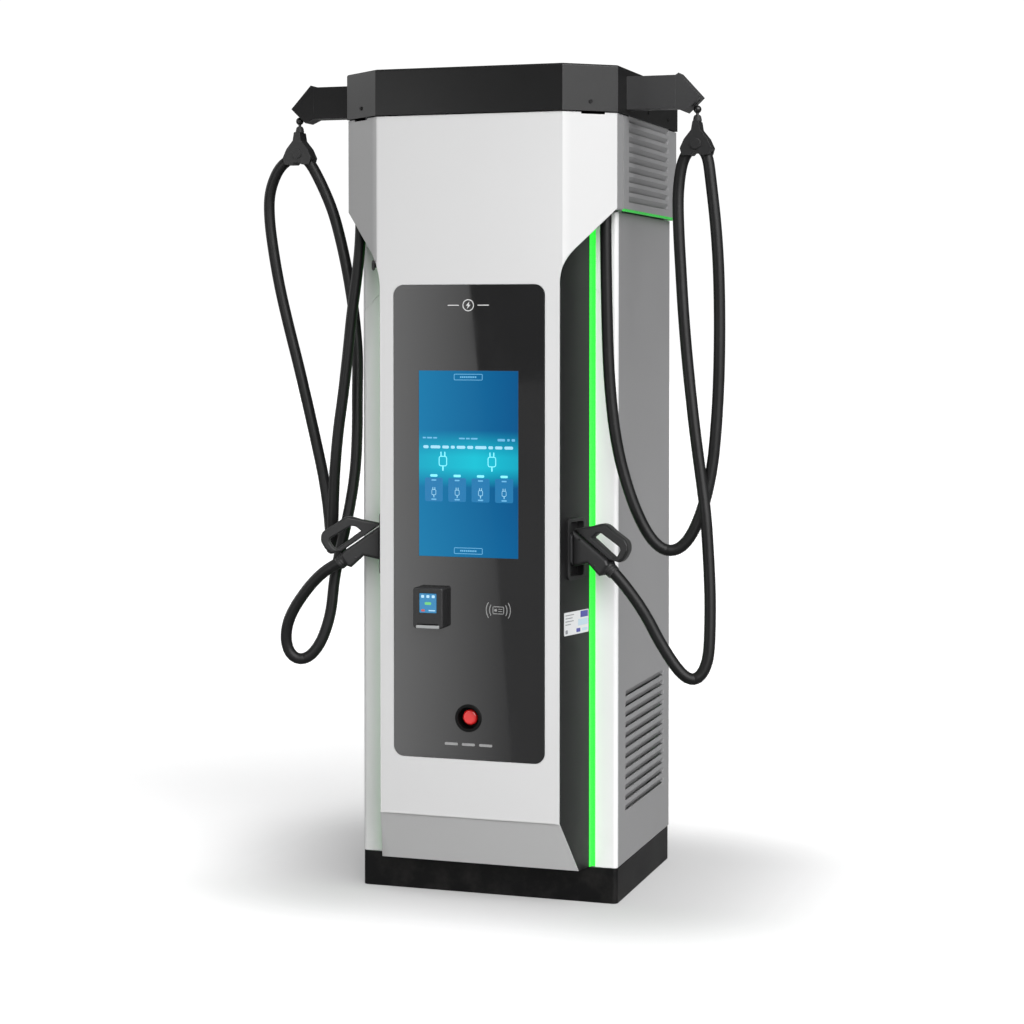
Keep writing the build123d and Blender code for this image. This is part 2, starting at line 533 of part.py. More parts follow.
# front view outline: right half, with a quadratic curve from the panel edge into the wing
CURVE_Z0, CURVE_Z1, CURVE_Z2 = 1776, 1838, 1883         # start, control point, end
CURVE_END_X = 309
wing_slope = (HEAD_Z0 + 2 - CURVE_Z2) / (HEAD_X - CURVE_END_X)
right_edge = [(SLANT_X, SLANT_Z0 - 10), (SLANT_X, SLANT_Z0), (PANEL_X, SLANT_Z1), (PANEL_X, 1700)]
for i in range(9):
    t = i / 8
    start, control, end = (1 - t) ** 2, 2 * (1 - t) * t, t * t
    right_edge.append((start * PANEL_X + control * PANEL_X + end * CURVE_END_X,
                       start * CURVE_Z0 + control * CURVE_Z1 + end * CURVE_Z2))
right_edge += [(HEAD_X + 5, HEAD_Z0 + 2 + 5 * wing_slope), (HEAD_X + 5, HEAD_Z1 + 5)]
silhouette = right_edge + [(-x, z) for x, z in reversed(right_edge)]
slant = prism_x([(FRONT_Y, SLANT_Z1 + 8), (FRONT_Y, SLANT_Z1), (SLANT_Y, SLANT_Z0),
                 (-345, SLANT_Z0), (-345, SLANT_Z0 + SHEET), (SLANT_Y + 1.6, SLANT_Z0 + SHEET),
                 (FRONT_Y + SHEET, SLANT_Z1 + 0.6), (FRONT_Y + SHEET, SLANT_Z1 + 8)],
                -SLANT_X, SLANT_X)
cover = (wing + slant) & prism_y(silhouette, -600, -200)
for side in SIDES:                      # folded edge flanges
    cover += box(side * (PANEL_X - SHEET), side * PANEL_X,
                 FRONT_Y + 0.5, FRONT_Y + 6.5, SLANT_Z1, 1780)

# opening and frame around the glass
cover -= glass_block(1, FRONT_Y - 10, FRONT_Y + 5)
ring = glass_block(14, FRONT_Y + SHEET, FRONT_Y + 10)
ring -= glass_block(1, FRONT_Y + 1, FRONT_Y + 6)
ring -= glass_block(-18, FRONT_Y + 1, FRONT_Y + 14)
cover += ring
for side in SIDES:                      # clear the bay panels
    cover -= box(side * 288, side * 305, SLANT_Y + 1.8, -300, SLANT_Z0 - 2, SLANT_Z0 + 6)
for side in SIDES:                      # tilt brackets with pins
    x0, x1 = sorted((side * 228, side * 234))
    bracket = prism_x([(-345, SLANT_Z0 + SHEET), (-318, TILT_Z - 2), (-318, TILT_Z + 10),
                       (-345, TILT_Z + 14), (SLANT_Y + 8, SLANT_Z0 + SHEET)], x0, x1)
    bracket += box(x0, x1, SLANT_Y + 8, -345, SLANT_Z0 + SHEET - 1, SLANT_Z0 + SHEET + 3)
    cover += bracket
    cover += cyl_x(TILT_Y, TILT_Z, side * 230, side * 248, 6.0)

# quarter-turn lock in the left wing
LOCK = Plane(origin=(-292.5, -465.0, 1840.0), x_dir=(cos(CHAMFER), -sin(CHAMFER), 0),
             z_dir=(-sin(CHAMFER), -cos(CHAMFER), 0))
cover -= LOCK * Cylinder(7.05, 30)
put("front_cover", largest(cover))
lock = LOCK * Pos(0, 0, -6) * Cylinder(7.0, 16)
lock += LOCK * Pos(0, 0, 0.1) * extrude(SlotOverall(30, 15.5, rotation=90), amount=2.4)
lock += LOCK * Pos(0, 3, -14) * extrude(Rectangle(9, 15), amount=3)
lock -= LOCK * Pos(0, 0, 1.4) * extrude(Rectangle(2.2, 16), amount=3)
put("cover_lock", lock)


# ---------------------------------------------------------------- glass and controls
def screen_block(grow, y0, y1):
    return box(-SCREEN_X - grow, SCREEN_X + grow, FRONT_Y + y0, FRONT_Y + y1,
               SCREEN_Z - SCREEN_H - grow, SCREEN_Z + SCREEN_H + grow)


def estop_cyl(y0, y1, r):
    """Cylinder on the emergency stop axis, y measured from the front face."""
    return cyl_y(0, ESTOP_Z, FRONT_Y + y0, FRONT_Y + y1, r)


glass = glass_block(0, GLASS_FRONT, GLASS_REAR)
glass -= screen_block(0.3, -5, 9)
glass -= estop_cyl(-5, 9, 35)
put("glass_panel", glass)

display = screen_block(0, -1, 12)
display += screen_block(20, 10.5, 60)
display += box(-GLASS_X + 30, GLASS_X - 30, FRONT_Y + 30, FRONT_Y + 34,
               610, SCREEN_Z - SCREEN_H - 20)
for z in (SCREEN_Z - SCREEN_H + 60, SCREEN_Z, SCREEN_Z + SCREEN_H - 60):    # rear slots
    for i in range(-5, 6):
        display -= box(i * 24 - 5, i * 24 + 5, FRONT_Y + 55, FRONT_Y + 61, z - 30, z + 30)
put("display_module", display)

terminal = rounded_y(-155, -65, 803, 919, FRONT_Y - 38, GLASS_FRONT, 7)
terminal = soft_front(terminal, 4)
terminal -= box(-137, -83, FRONT_Y - 39, FRONT_Y - 34.5, 846, 904)
terminal -= box(-142, -78, FRONT_Y - 39, FRONT_Y - 20, 812, 815.5)
terminal += box(-137, -83, FRONT_Y - 35, FRONT_Y - 30, 846, 904)
put("payment_terminal", terminal)

reader = rounded_y(42, 138, 822, 900, GLASS_REAR, GLASS_REAR + 12, 5)
reader += rounded_y(62, 118, 838, 884, GLASS_REAR + 12, GLASS_REAR + 21, 4)
put("card_reader", reader)

collar = soft_front(estop_cyl(-5, -1, 39.5), 2)
collar += estop_cyl(-2, 37, 34.5)
collar -= estop_cyl(-8, 33, 31.5)
collar += estop_cyl(36, 60, 14.9)
collar += box(-18, 18, FRONT_Y + 58, FRONT_Y + 92, ESTOP_Z - 18, ESTOP_Z + 18)
collar -= estop_cyl(30, 100, 9.05)
put("estop_collar", collar)
put("estop_plunger", estop_cyl(27.5, 84, 9.0) - estop_cyl(27, 41, 5.05))
button = soft_front(estop_cyl(9, 26.5, 22.5), 7)
button += estop_cyl(25, 39, 5.0)
for i in range(12):                     # grip flutes
    turn = radians(i * 30)
    button -= cyl_y(23.4 * cos(turn), ESTOP_Z + 23.4 * sin(turn), FRONT_Y + 13, FRONT_Y + 28, 2.0)
put("estop_head", button)

# ---------------------------------------------------------------- rear door
DOOR_Y = 304                            # outer face
hood_y = DOOR_Y - LOUVRE_D
door = box(-385, 385, 300, DOOR_Y, PLINTH_TOP + 10, HEAD_Z0 - 10)
door += (box(-336, 336, 284, 300, PLINTH_TOP + 30, HEAD_Z0 - 60)
         - box(-333, 333, 283, 300, PLINTH_TOP + 33, HEAD_Z0 - 63))
for z0 in (300, 1480):                  # two banks of louvres
    for i in range(10):
        low = z0 + i * LOUVRE_PITCH
        high = low + LOUVRE_H
        door -= box(-230, 230, 299, 305, low, high)
        door += prism_x([(DOOR_Y, high + 2), (DOOR_Y - 2, high + 2), (hood_y, low + 3),
                         (hood_y, low + 1), (hood_y + 2, low + 1), (DOOR_Y, high - 1)],
                        -232, 232)
hinges = []
for z in (300, 1050, 1800):
    door += (cyl_z(HINGE_X, HINGE_Y, z + 0.3, z + 40, 7)
             + box(HINGE_X, HINGE_X + 22, DOOR_Y, 307, z + 0.3, z + 40))
    door -= cyl_z(HINGE_X, HINGE_Y, z - 1, z + 42, 4.05)
    hinge = cyl_z(HINGE_X, HINGE_Y, z - 40, z, 7) + cyl_z(HINGE_X, HINGE_Y, z - 40, z + 38, 4.0)
    hinge += box(-392, HINGE_X, DOOR_Y, 309, z - 40, z)
    hinges.append(hinge)
door -= cyl_y(352, 1050, 290, 310, 8.05)
put("rear_door", largest(door))
put_group("rear_hinges", hinges)

handle = cyl_y(352, 1050, 286, 310, 8.0)
handle += rounded_y(339, 365, 940, 1072, 304.5, 314, 12)
handle += rounded_y(343, 361, 944, 1020, 314, 322, 8)
handle += box(344, 358, 286, 290, 1044, 1084)
put("rear_handle", handle)

# ---------------------------------------------------------------- power electronics
SHELF_Z, SHELF_PITCH, SHELF_T = 260, 150, 4
uprights = []
for x, x0, x1 in ((-258, -259, -241), (238, 241, 259)):    # channels open to the sides
    for y in (-160, 180):
        uprights.append(box(x, x + 20, y, y + 20, PLATE_TOP, 1900)
                        - box(x0, x1, y + 3, y + 17, PLATE_TOP - 1, 1901))
rack = fuse(uprights)
for z in [SHELF_Z + i * SHELF_PITCH for i in range(7)] + [1896]:
    rack += box(-258, 258, -160, 200, z, z + SHELF_T)
rack += box(-248, 248, 176, 180, 1400, 1897)
put("module_rack", rack)

modules = []
for i in range(6):
    z = SHELF_Z + SHELF_T + i * SHELF_PITCH
    module = box(-225, 225, -150, 190, z, z + 130)
    module -= box(-222, 222, -151, 187, z + 3, z + 127)
    for side in SIDES:                  # round rear openings with hub and cross bars
        x = side * 110
        module -= cyl_y(x, z + 65, 180, 195, 44)
        module += cyl_y(x, z + 65, 184, 190, 20)
        module += box(x - 46, x + 46, 186, 190, z + 62, z + 68)
        module += box(x - 3, x + 3, 186, 190, z + 18, z + 112)
    modules.append(module)
put_group("power_modules", modules)

switch = box(-200, 60, 60, 176, 1450, 1640) - box(-196, 56, 64, 177, 1454, 1636)
switch += box(-90, -50, 40, 62, 1520, 1570)
put("main_switch", switch)

FAN_Z, FAN_R = 2125, 88
fan = box(-POST_X0, POST_X0, 236, 240, 2030, 2220)
fan -= cyl_y(0, FAN_Z, 230, 245, FAN_R)
fan += cyl_y(0, FAN_Z, 186, 236, 95) - cyl_y(0, FAN_Z, 180, 237, FAN_R)
for angle in (0, 90):
    fan += Pos(0, 233, FAN_Z) * Rot(0, angle, 0) * Box(180, 6, 8)
fan += cyl_y(0, FAN_Z, 200, 236, 8)
put("fan_frame", fan)

BLADES = 7
rotor = cyl_y(0, FAN_Z, 192, 228, 30) - cyl_y(0, FAN_Z, 190, 229, 8.06)
for i in range(BLADES):
    spoke = Pos(0, 210, FAN_Z) * Rot(0, i * 360 / BLADES, 0)
    rotor += spoke * Pos(56, 0, 0) * Rot(35, 0, 0) * Box(58, 34, 2.5)
rotor -= cyl_y(0, FAN_Z, 180, 240, 120) - cyl_y(0, FAN_Z, 179, 241, FAN_R - 3)
put("fan_rotor", largest(rotor))
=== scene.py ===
"""Charging station with two cables: looks, stage, light and camera.

Metres, +Z up, floor at z = 0. The station stands upright on the origin with its glass front
facing -Y. The right side is +X; each side carries a bay with a connector, and a cable that
rises to a hanger on a cord over a pulley.
"""
import json
import math
import random
from functools import cached_property

import bpy
import bmesh
import numpy as np
from mathutils import Matrix, Vector
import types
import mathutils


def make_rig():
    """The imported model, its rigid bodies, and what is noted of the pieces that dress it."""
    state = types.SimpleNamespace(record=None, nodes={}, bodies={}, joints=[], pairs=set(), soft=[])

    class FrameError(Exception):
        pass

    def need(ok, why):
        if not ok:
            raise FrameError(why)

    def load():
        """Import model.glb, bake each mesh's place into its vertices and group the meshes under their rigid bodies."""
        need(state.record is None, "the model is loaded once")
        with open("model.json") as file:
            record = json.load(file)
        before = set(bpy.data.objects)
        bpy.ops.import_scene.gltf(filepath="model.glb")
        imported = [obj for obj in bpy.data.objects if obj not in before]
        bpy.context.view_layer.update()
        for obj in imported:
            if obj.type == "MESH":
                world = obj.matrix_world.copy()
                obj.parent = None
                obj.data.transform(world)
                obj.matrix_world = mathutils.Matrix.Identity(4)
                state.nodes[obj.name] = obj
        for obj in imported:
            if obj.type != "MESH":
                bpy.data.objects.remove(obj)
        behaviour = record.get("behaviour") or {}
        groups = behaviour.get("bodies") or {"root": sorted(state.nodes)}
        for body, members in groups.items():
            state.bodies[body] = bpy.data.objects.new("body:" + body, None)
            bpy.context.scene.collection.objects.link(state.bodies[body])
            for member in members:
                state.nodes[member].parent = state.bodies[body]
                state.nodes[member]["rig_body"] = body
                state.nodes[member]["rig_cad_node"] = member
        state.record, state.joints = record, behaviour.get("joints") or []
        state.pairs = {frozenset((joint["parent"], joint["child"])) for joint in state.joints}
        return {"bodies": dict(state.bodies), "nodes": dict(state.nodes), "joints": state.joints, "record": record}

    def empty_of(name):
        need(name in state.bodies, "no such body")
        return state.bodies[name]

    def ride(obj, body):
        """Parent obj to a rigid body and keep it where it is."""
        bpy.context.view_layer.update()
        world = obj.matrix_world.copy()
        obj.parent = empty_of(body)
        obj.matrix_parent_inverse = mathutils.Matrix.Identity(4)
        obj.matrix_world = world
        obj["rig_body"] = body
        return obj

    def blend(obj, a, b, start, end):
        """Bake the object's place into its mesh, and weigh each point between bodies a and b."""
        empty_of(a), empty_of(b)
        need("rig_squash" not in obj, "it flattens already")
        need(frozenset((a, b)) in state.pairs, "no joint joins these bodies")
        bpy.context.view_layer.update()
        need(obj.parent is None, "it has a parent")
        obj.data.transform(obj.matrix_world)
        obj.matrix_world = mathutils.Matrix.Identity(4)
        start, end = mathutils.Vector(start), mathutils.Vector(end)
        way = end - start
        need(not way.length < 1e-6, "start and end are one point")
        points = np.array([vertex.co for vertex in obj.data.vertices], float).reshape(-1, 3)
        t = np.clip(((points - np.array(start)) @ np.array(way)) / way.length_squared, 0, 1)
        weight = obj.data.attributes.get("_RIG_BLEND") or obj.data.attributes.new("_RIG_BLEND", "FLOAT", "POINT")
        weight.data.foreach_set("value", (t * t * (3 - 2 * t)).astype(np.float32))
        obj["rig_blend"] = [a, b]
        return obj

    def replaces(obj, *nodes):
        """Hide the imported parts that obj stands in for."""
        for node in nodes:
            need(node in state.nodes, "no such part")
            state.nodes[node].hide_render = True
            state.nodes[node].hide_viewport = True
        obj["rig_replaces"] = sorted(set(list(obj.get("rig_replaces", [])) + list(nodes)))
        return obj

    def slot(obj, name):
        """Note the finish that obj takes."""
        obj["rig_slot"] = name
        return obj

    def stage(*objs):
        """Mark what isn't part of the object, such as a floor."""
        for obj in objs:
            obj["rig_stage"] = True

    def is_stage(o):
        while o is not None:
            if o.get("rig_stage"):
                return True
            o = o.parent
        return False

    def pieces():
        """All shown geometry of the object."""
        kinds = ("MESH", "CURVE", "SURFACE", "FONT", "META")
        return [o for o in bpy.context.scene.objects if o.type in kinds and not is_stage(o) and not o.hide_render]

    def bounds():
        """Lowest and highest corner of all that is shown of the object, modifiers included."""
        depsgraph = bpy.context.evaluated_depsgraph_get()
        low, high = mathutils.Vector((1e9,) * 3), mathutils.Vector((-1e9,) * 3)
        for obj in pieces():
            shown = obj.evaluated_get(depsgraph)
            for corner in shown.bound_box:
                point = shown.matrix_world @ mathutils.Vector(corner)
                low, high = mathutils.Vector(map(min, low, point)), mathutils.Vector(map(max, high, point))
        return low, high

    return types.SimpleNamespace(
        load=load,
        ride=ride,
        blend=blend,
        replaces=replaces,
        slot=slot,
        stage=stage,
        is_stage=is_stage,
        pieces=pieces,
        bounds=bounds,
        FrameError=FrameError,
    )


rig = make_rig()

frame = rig.load()
frame_low, frame_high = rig.bounds()
random.seed(7)

# ---------------------------------------------------------------- driving sizes
GLASS_Y = -0.477                              # front face of the glass
SCREEN_W, SCREEN_H, SCREEN_Z = 0.2989, 0.5314, 1.272
SCREEN_TOP = SCREEN_Z + SCREEN_H / 2
# frame of the right bay: its x points out of the bay panel, its y runs along the panel
BAY = Matrix.Translation((0.293, -0.394, 0.0)) @ Matrix.Rotation(math.radians(-15.55), 4, "Z")
MIRROR_X = Matrix.Diagonal((-1, 1, 1, 1))
CABLE_RADIUS = 0.0165
CORD_RADIUS = 0.002
PULLEY_X, PULLEY_Y, PULLEY_Z = 0.598, -0.255, 2.316
PULLEY_RADIUS = 0.0152                        # to the middle of the cord
CORD_DROP_X = PULLEY_X + PULLEY_RADIUS        # hanging part of the cord
SIDES = (("right", 1), ("left", -1))


# ---------------------------------------------------------------- node trees
class Nodes:
    """Builds the node tree of a material or a world; values may be numbers or sockets."""

    def __init__(self, owner, output="ShaderNodeOutputMaterial"):
        owner.use_nodes = True
        self.owner = owner
        self.tree = owner.node_tree
        self.tree.nodes.clear()
        self.output = self.add(output)

    def add(self, kind, inputs=None, **settings):
        """New node; inputs maps socket names or indices to values or to sockets to link."""
        node = self.tree.nodes.new(kind)
        for key, value in settings.items():
            setattr(node, key, value)
        for key, value in (inputs or {}).items():
            socket = node.inputs[key]
            if isinstance(value, bpy.types.NodeSocket):
                self.tree.links.new(value, socket)
            elif socket.type == "RGBA":
                socket.default_value = (*value, 1.0)
            else:
                socket.default_value = value
        return node

    @cached_property
    def coords(self):
        return self.add("ShaderNodeTexCoord").outputs["Object"]

    @cached_property
    def normal(self):
        return self.add("ShaderNodeNewGeometry").outputs["Normal"]

    def xyz(self, vector):
        return self.add("ShaderNodeSeparateXYZ", {0: vector}).outputs

    def noise(self, scale, detail=2.0, rough=0.5, stretch=(1, 1, 1)):
        mapping = self.add("ShaderNodeMapping", {"Vector": self.coords, "Scale": stretch})
        return self.add("ShaderNodeTexNoise", {
            "Vector": mapping.outputs["Vector"], "Scale": scale, "Detail": detail,
            "Roughness": rough}).outputs["Fac"]

    def ramp(self, source, span=(0.3, 0.7), to=(0.0, 1.0), shape="LINEAR"):
        """Clamped map of span onto to; the default span is the useful range of a noise."""
        return self.add("ShaderNodeMapRange", {
            "Value": source, "From Min": span[0], "From Max": span[1],
            "To Min": to[0], "To Max": to[1]},
            clamp=True, interpolation_type=shape).outputs["Result"]

    def math(self, operation, a, b=0.0):
        return self.add("ShaderNodeMath", {0: a, 1: b}, operation=operation).outputs[0]

    def times(self, a, b):
        return self.math("MULTIPLY", a, b)

    def plus(self, a, b):
        return self.math("ADD", a, b)

    def mix(self, share, a, b):
        """Colour a where share is 0, colour b where it is 1."""
        return self.add("ShaderNodeMix", {0: share, 6: a, 7: b}, data_type="RGBA").outputs[2]

    def edge(self, radius, samples=4, strength=1.0):
        """Mask of the edges, and the normal that rounds them."""
        rounded = self.add("ShaderNodeBevel", {"Radius": radius}, samples=samples)
        rounded = rounded.outputs["Normal"]
        facing = self.add("ShaderNodeVectorMath", {0: rounded, 1: self.normal},
                          operation="DOT_PRODUCT").outputs["Value"]
        return self.ramp(facing, span=(0.995, 0.86), to=(0.0, strength)), rounded

    def bump(self, height, strength, distance, normal=None):
        inputs = {"Strength": strength, "Distance": distance, "Height": height}
        if normal is not None:
            inputs["Normal"] = normal
        return self.add("ShaderNodeBump", inputs).outputs["Normal"]

    def surface(self, shader):
        self.tree.links.new(shader.outputs[0], self.output.inputs["Surface"])
        return self.owner

    def mix_shader(self, share, a, b):
        return self.add("ShaderNodeMixShader", {0: share, 1: a.outputs[0], 2: b.outputs[0]})

    def principled(self, color, rough, normal, metallic=0.0, coat=0.0, coat_rough=0.1,
                   spec=0.5, sheen=0.0, glow=None, glow_strength=None):
        """Principled surface; returns the finished material."""
        inputs = {"Base Color": color, "Roughness": rough, "Metallic": metallic,
                  "Specular IOR Level": spec, "Coat Weight": coat,
                  "Coat Roughness": coat_rough, "Sheen Weight": sheen, "Normal": normal}
        if glow is not None:
            inputs.update({"Emission Color": glow, "Emission Strength": glow_strength})
        return self.surface(self.add("ShaderNodeBsdfPrincipled", inputs))


def new_material(name):
    return Nodes(bpy.data.materials.new(name))


def shade(color, factor):
    return tuple(min(1.0, channel * factor) for channel in color)


def grey(level):
    return (level, level, level)


# ---------------------------------------------------------------- kinds of material
def coated(name, base, rough=0.38, drift=0.06, peel=900.0, peel_depth=0.00012,
           wear=grey(0.35), wear_share=0.5, coat=0.0, spec=0.5, dust=0.10,
           edge_radius=0.0012, sheen=0.0):
    """Powder coat or moulded plastic: fine texture (peel is its noise scale), soft tone
    drift, edges rubbed to the wear colour, dust near the floor."""
    n = new_material(name)
    blotch = n.noise(scale=2.3, detail=3.0)
    fine = n.noise(scale=peel)
    grime = n.noise(scale=14.0, detail=5.0, rough=0.65)
    color = n.mix(n.ramp(blotch, span=(0.35, 0.7)),
                  shade(base, 1.0 - drift), shade(base, 1.0 + drift * 0.6))
    speck = n.ramp(n.noise(scale=peel * 0.6, detail=1.0), span=(0.66, 0.78), to=(0.0, 0.22))
    speck_factor = 1.25 if sum(base) < 0.5 else 0.93      # lighter on dark, darker on pale
    color = n.mix(speck, color, shade(base, speck_factor))
    x, y, z = n.xyz(n.coords)
    near_floor = n.ramp(z, span=(0.32, 0.0))
    dusty = n.times(near_floor, n.ramp(grime, span=(0.45, 0.75), to=(0.0, dust * 2.5)))
    color = n.mix(dusty, color, (0.34, 0.32, 0.29))
    edge, rounded = n.edge(edge_radius)
    worn = n.times(edge, n.ramp(grime, span=(0.42, 0.62), to=(0.0, wear_share)))
    color = n.mix(worn, color, wear)
    roughness = n.plus(n.ramp(blotch, to=(rough - 0.04, rough + 0.05)),
                       n.times(n.ramp(fine, to=(-0.03, 0.03)), 1.0))
    roughness = n.plus(roughness, n.times(dusty, 0.25))
    return n.principled(color, roughness, coat=coat, coat_rough=0.12, spec=spec, sheen=sheen,
                        normal=n.bump(fine, strength=0.55, distance=peel_depth, normal=rounded))


def cover_paint(name, base, side):
    """Satin coat of the front cover with painted shade across the front: soft bend at the foot, side returns in the
    side colour.
    """
    n = new_material(name)
    x, y, z = n.xyz(n.coords)
    blotch = n.noise(scale=1.7, detail=3.0)
    fine = n.noise(scale=650)
    color = n.mix(n.ramp(blotch, span=(0.35, 0.7)), shade(base, 0.985), base)
    # painted light and shade: the tone falls towards -X as if lit from the right, and drops again on both outer
    # chamfer strips as painted shade
    color = n.mix(n.ramp(x, span=(0.30, -0.30)), color, shade(base, 0.80))
    color = n.mix(n.ramp(x, span=(-0.272, -0.300)), color, shade(base, 0.54))
    color = n.mix(n.ramp(x, span=(0.272, 0.300)), color, shade(base, 0.88))
    # painted shade: darker towards the foot
    color = n.mix(n.ramp(z, span=(0.75, 0.27), to=(0.0, 0.5)), color, shade(base, 0.84))
    from_middle = n.math("ABSOLUTE", x)
    color = n.mix(n.ramp(from_middle, span=(0.4080, 0.4086)), color, side)
    # wide rounding only around the bend, small rounding elsewhere
    above, below = n.ramp(z, span=(0.205, 0.225)), n.ramp(z, span=(0.325, 0.300))
    between = n.ramp(from_middle, span=(0.262, 0.252))
    bend = n.times(n.times(above, below), between)
    edge, rounded = n.edge(n.plus(n.times(bend, 0.0075), 0.0014), samples=8, strength=0.3)
    edge = n.times(edge, n.math("SUBTRACT", 1.0, bend))
    patches = n.ramp(n.noise(scale=14.0, detail=5.0), span=(0.42, 0.62))
    color = n.mix(n.times(edge, patches), color, grey(0.6))
    roughness = n.plus(n.ramp(blotch, to=(0.31, 0.38)), n.ramp(fine, to=(-0.03, 0.03)))
    return n.principled(color, roughness, coat=0.12, coat_rough=0.15,
                        normal=n.bump(fine, strength=0.5, distance=0.00008, normal=rounded))


def metal(name, base, rough=0.36, stretch=(1, 1, 30), spangle=False):
    """Brushed metal, the brushing drawn out by stretch; spangle adds zinc flakes."""
    n = new_material(name)
    brush = n.noise(scale=260.0, detail=3.0, stretch=stretch)
    blotch = n.noise(scale=5.0, detail=4.0)
    color = n.mix(n.ramp(blotch), shade(base, 0.86), shade(base, 1.05))
    if spangle:
        flakes = n.add("ShaderNodeTexVoronoi", {"Scale": 90.0, "Vector": n.coords})
        tone = n.add("ShaderNodeSeparateColor", {0: flakes.outputs["Color"]}).outputs[0]
        color = n.mix(n.ramp(tone, span=(0.0, 1.0), to=(0.0, 0.35)), color, shade(base, 0.72))
    edge, rounded = n.edge(radius=0.0008)
    color = n.mix(n.times(edge, 0.2), color, (0.8, 0.8, 0.82))
    roughness = n.plus(n.ramp(brush, to=(rough - 0.06, rough + 0.08)),
                       n.ramp(blotch, to=(-0.03, 0.04)))
    return n.principled(color, roughness, metallic=0.92,
                        normal=n.bump(brush, strength=0.35, distance=0.00008, normal=rounded))


def lit(name, color, strength, glow=None, pitch=None):
    """Lit translucent plastic; pitch is the height step of the bright spots along it."""
    n = new_material(name)
    if pitch:
        x, y, z = n.xyz(n.coords)
        wave = n.math("SINE", n.times(z, math.tau / pitch))
        light = n.ramp(wave, span=(-1.0, 1.0), to=(0.88, 1.0))
        # faces turned to the back or towards the middle stay dark
        normal_x, normal_y, normal_z = n.xyz(n.normal)
        inward = n.times(n.times(normal_x, n.math("SIGN", x)), -1.0)
        outer = n.times(n.ramp(normal_y, span=(0.45, 0.2)), n.ramp(inward, span=(0.85, 0.6)))
        light = n.times(light, outer)
    else:
        light = n.ramp(n.noise(scale=60.0), to=(0.93, 1.0))
    return n.principled(color, n.ramp(n.noise(scale=700.0), to=(0.24, 0.34)), coat=0.3,
                        normal=n.bump(n.noise(scale=900.0), strength=0.3, distance=0.00006),
                        glow=glow or color, glow_strength=n.times(light, strength))


def mark_paint(name, color, strength, base=0.4):
    """Printed or lit mark: even tone with a faint grain; base scales the unlit colour."""
    n = new_material(name)
    grain = n.ramp(n.noise(scale=1500.0), to=(0.9, 1.0))
    return n.principled(n.mix(grain, shade(color, base * 0.85), shade(color, base)),
                        n.ramp(grain, span=(0.9, 1.0), to=(0.3, 0.4)),
                        normal=n.bump(n.noise(scale=1200.0), strength=0.2, distance=0.00003),
                        glow=color, glow_strength=n.times(grain, strength))


# ---------------------------------------------------------------- single materials
def cable_jacket():
    """Satin rubber with faint draw texture and scuffs."""
    n = new_material("jacket")
    draw = n.noise(scale=320.0)
    soft = n.noise(scale=7.0, detail=3.0)
    scuff = n.ramp(n.noise(scale=46.0, detail=5.0, rough=0.7), span=(0.62, 0.76), to=(0.0, 0.45))
    color = n.mix(n.ramp(soft), grey(0.007), (0.012, 0.012, 0.0125))
    color = n.mix(scuff, color, grey(0.05))
    roughness = n.plus(n.ramp(draw, to=(0.38, 0.48)), n.times(scuff, 0.3))
    return n.principled(color, roughness, spec=0.27, sheen=0.01,
                        normal=n.bump(draw, strength=0.35, distance=0.00012))


def braided_cord():
    n = new_material("braid")
    slant = n.add("ShaderNodeTexWave", {"Scale": 170.0, "Distortion": 1.2, "Vector": n.coords},
                  bands_direction="DIAGONAL")
    level = n.add("ShaderNodeTexWave", {"Scale": 210.0, "Vector": n.coords},
                  bands_direction="Z")
    weave = n.times(slant.outputs["Fac"], level.outputs["Fac"])
    return n.principled(n.mix(weave, grey(0.015), grey(0.075)),
                        n.ramp(weave, span=(0, 1), to=(0.75, 0.55)), sheen=0.3,
                        normal=n.bump(weave, strength=0.8, distance=0.0004))


def dark_glass():
    """Near-black print under a clear glossy face, with dust and wiping smears."""
    n = new_material("glass_dark")
    tone = n.noise(scale=3.0, detail=3.0)
    dust = n.ramp(n.noise(scale=900.0, detail=1.0), span=(0.70, 0.80), to=(0.0, 0.10))
    smear = n.noise(scale=9.0, detail=5.0, rough=0.6, stretch=(1, 1, 0.45))
    color = n.mix(n.ramp(tone), (0.0150, 0.0150, 0.0154), (0.0180, 0.0180, 0.0185))
    color = n.mix(dust, color, grey(0.10))
    edge, rounded = n.edge(radius=0.0012)
    color = n.mix(n.times(edge, 0.35), color, (0.10, 0.13, 0.13))
    return n.principled(color, n.ramp(smear, span=(0.42, 0.72), to=(0.035, 0.10)),
                        coat=0.6, coat_rough=0.03,
                        normal=n.bump(n.noise(scale=3.0), strength=0.10, distance=0.0004,
                                      normal=rounded))


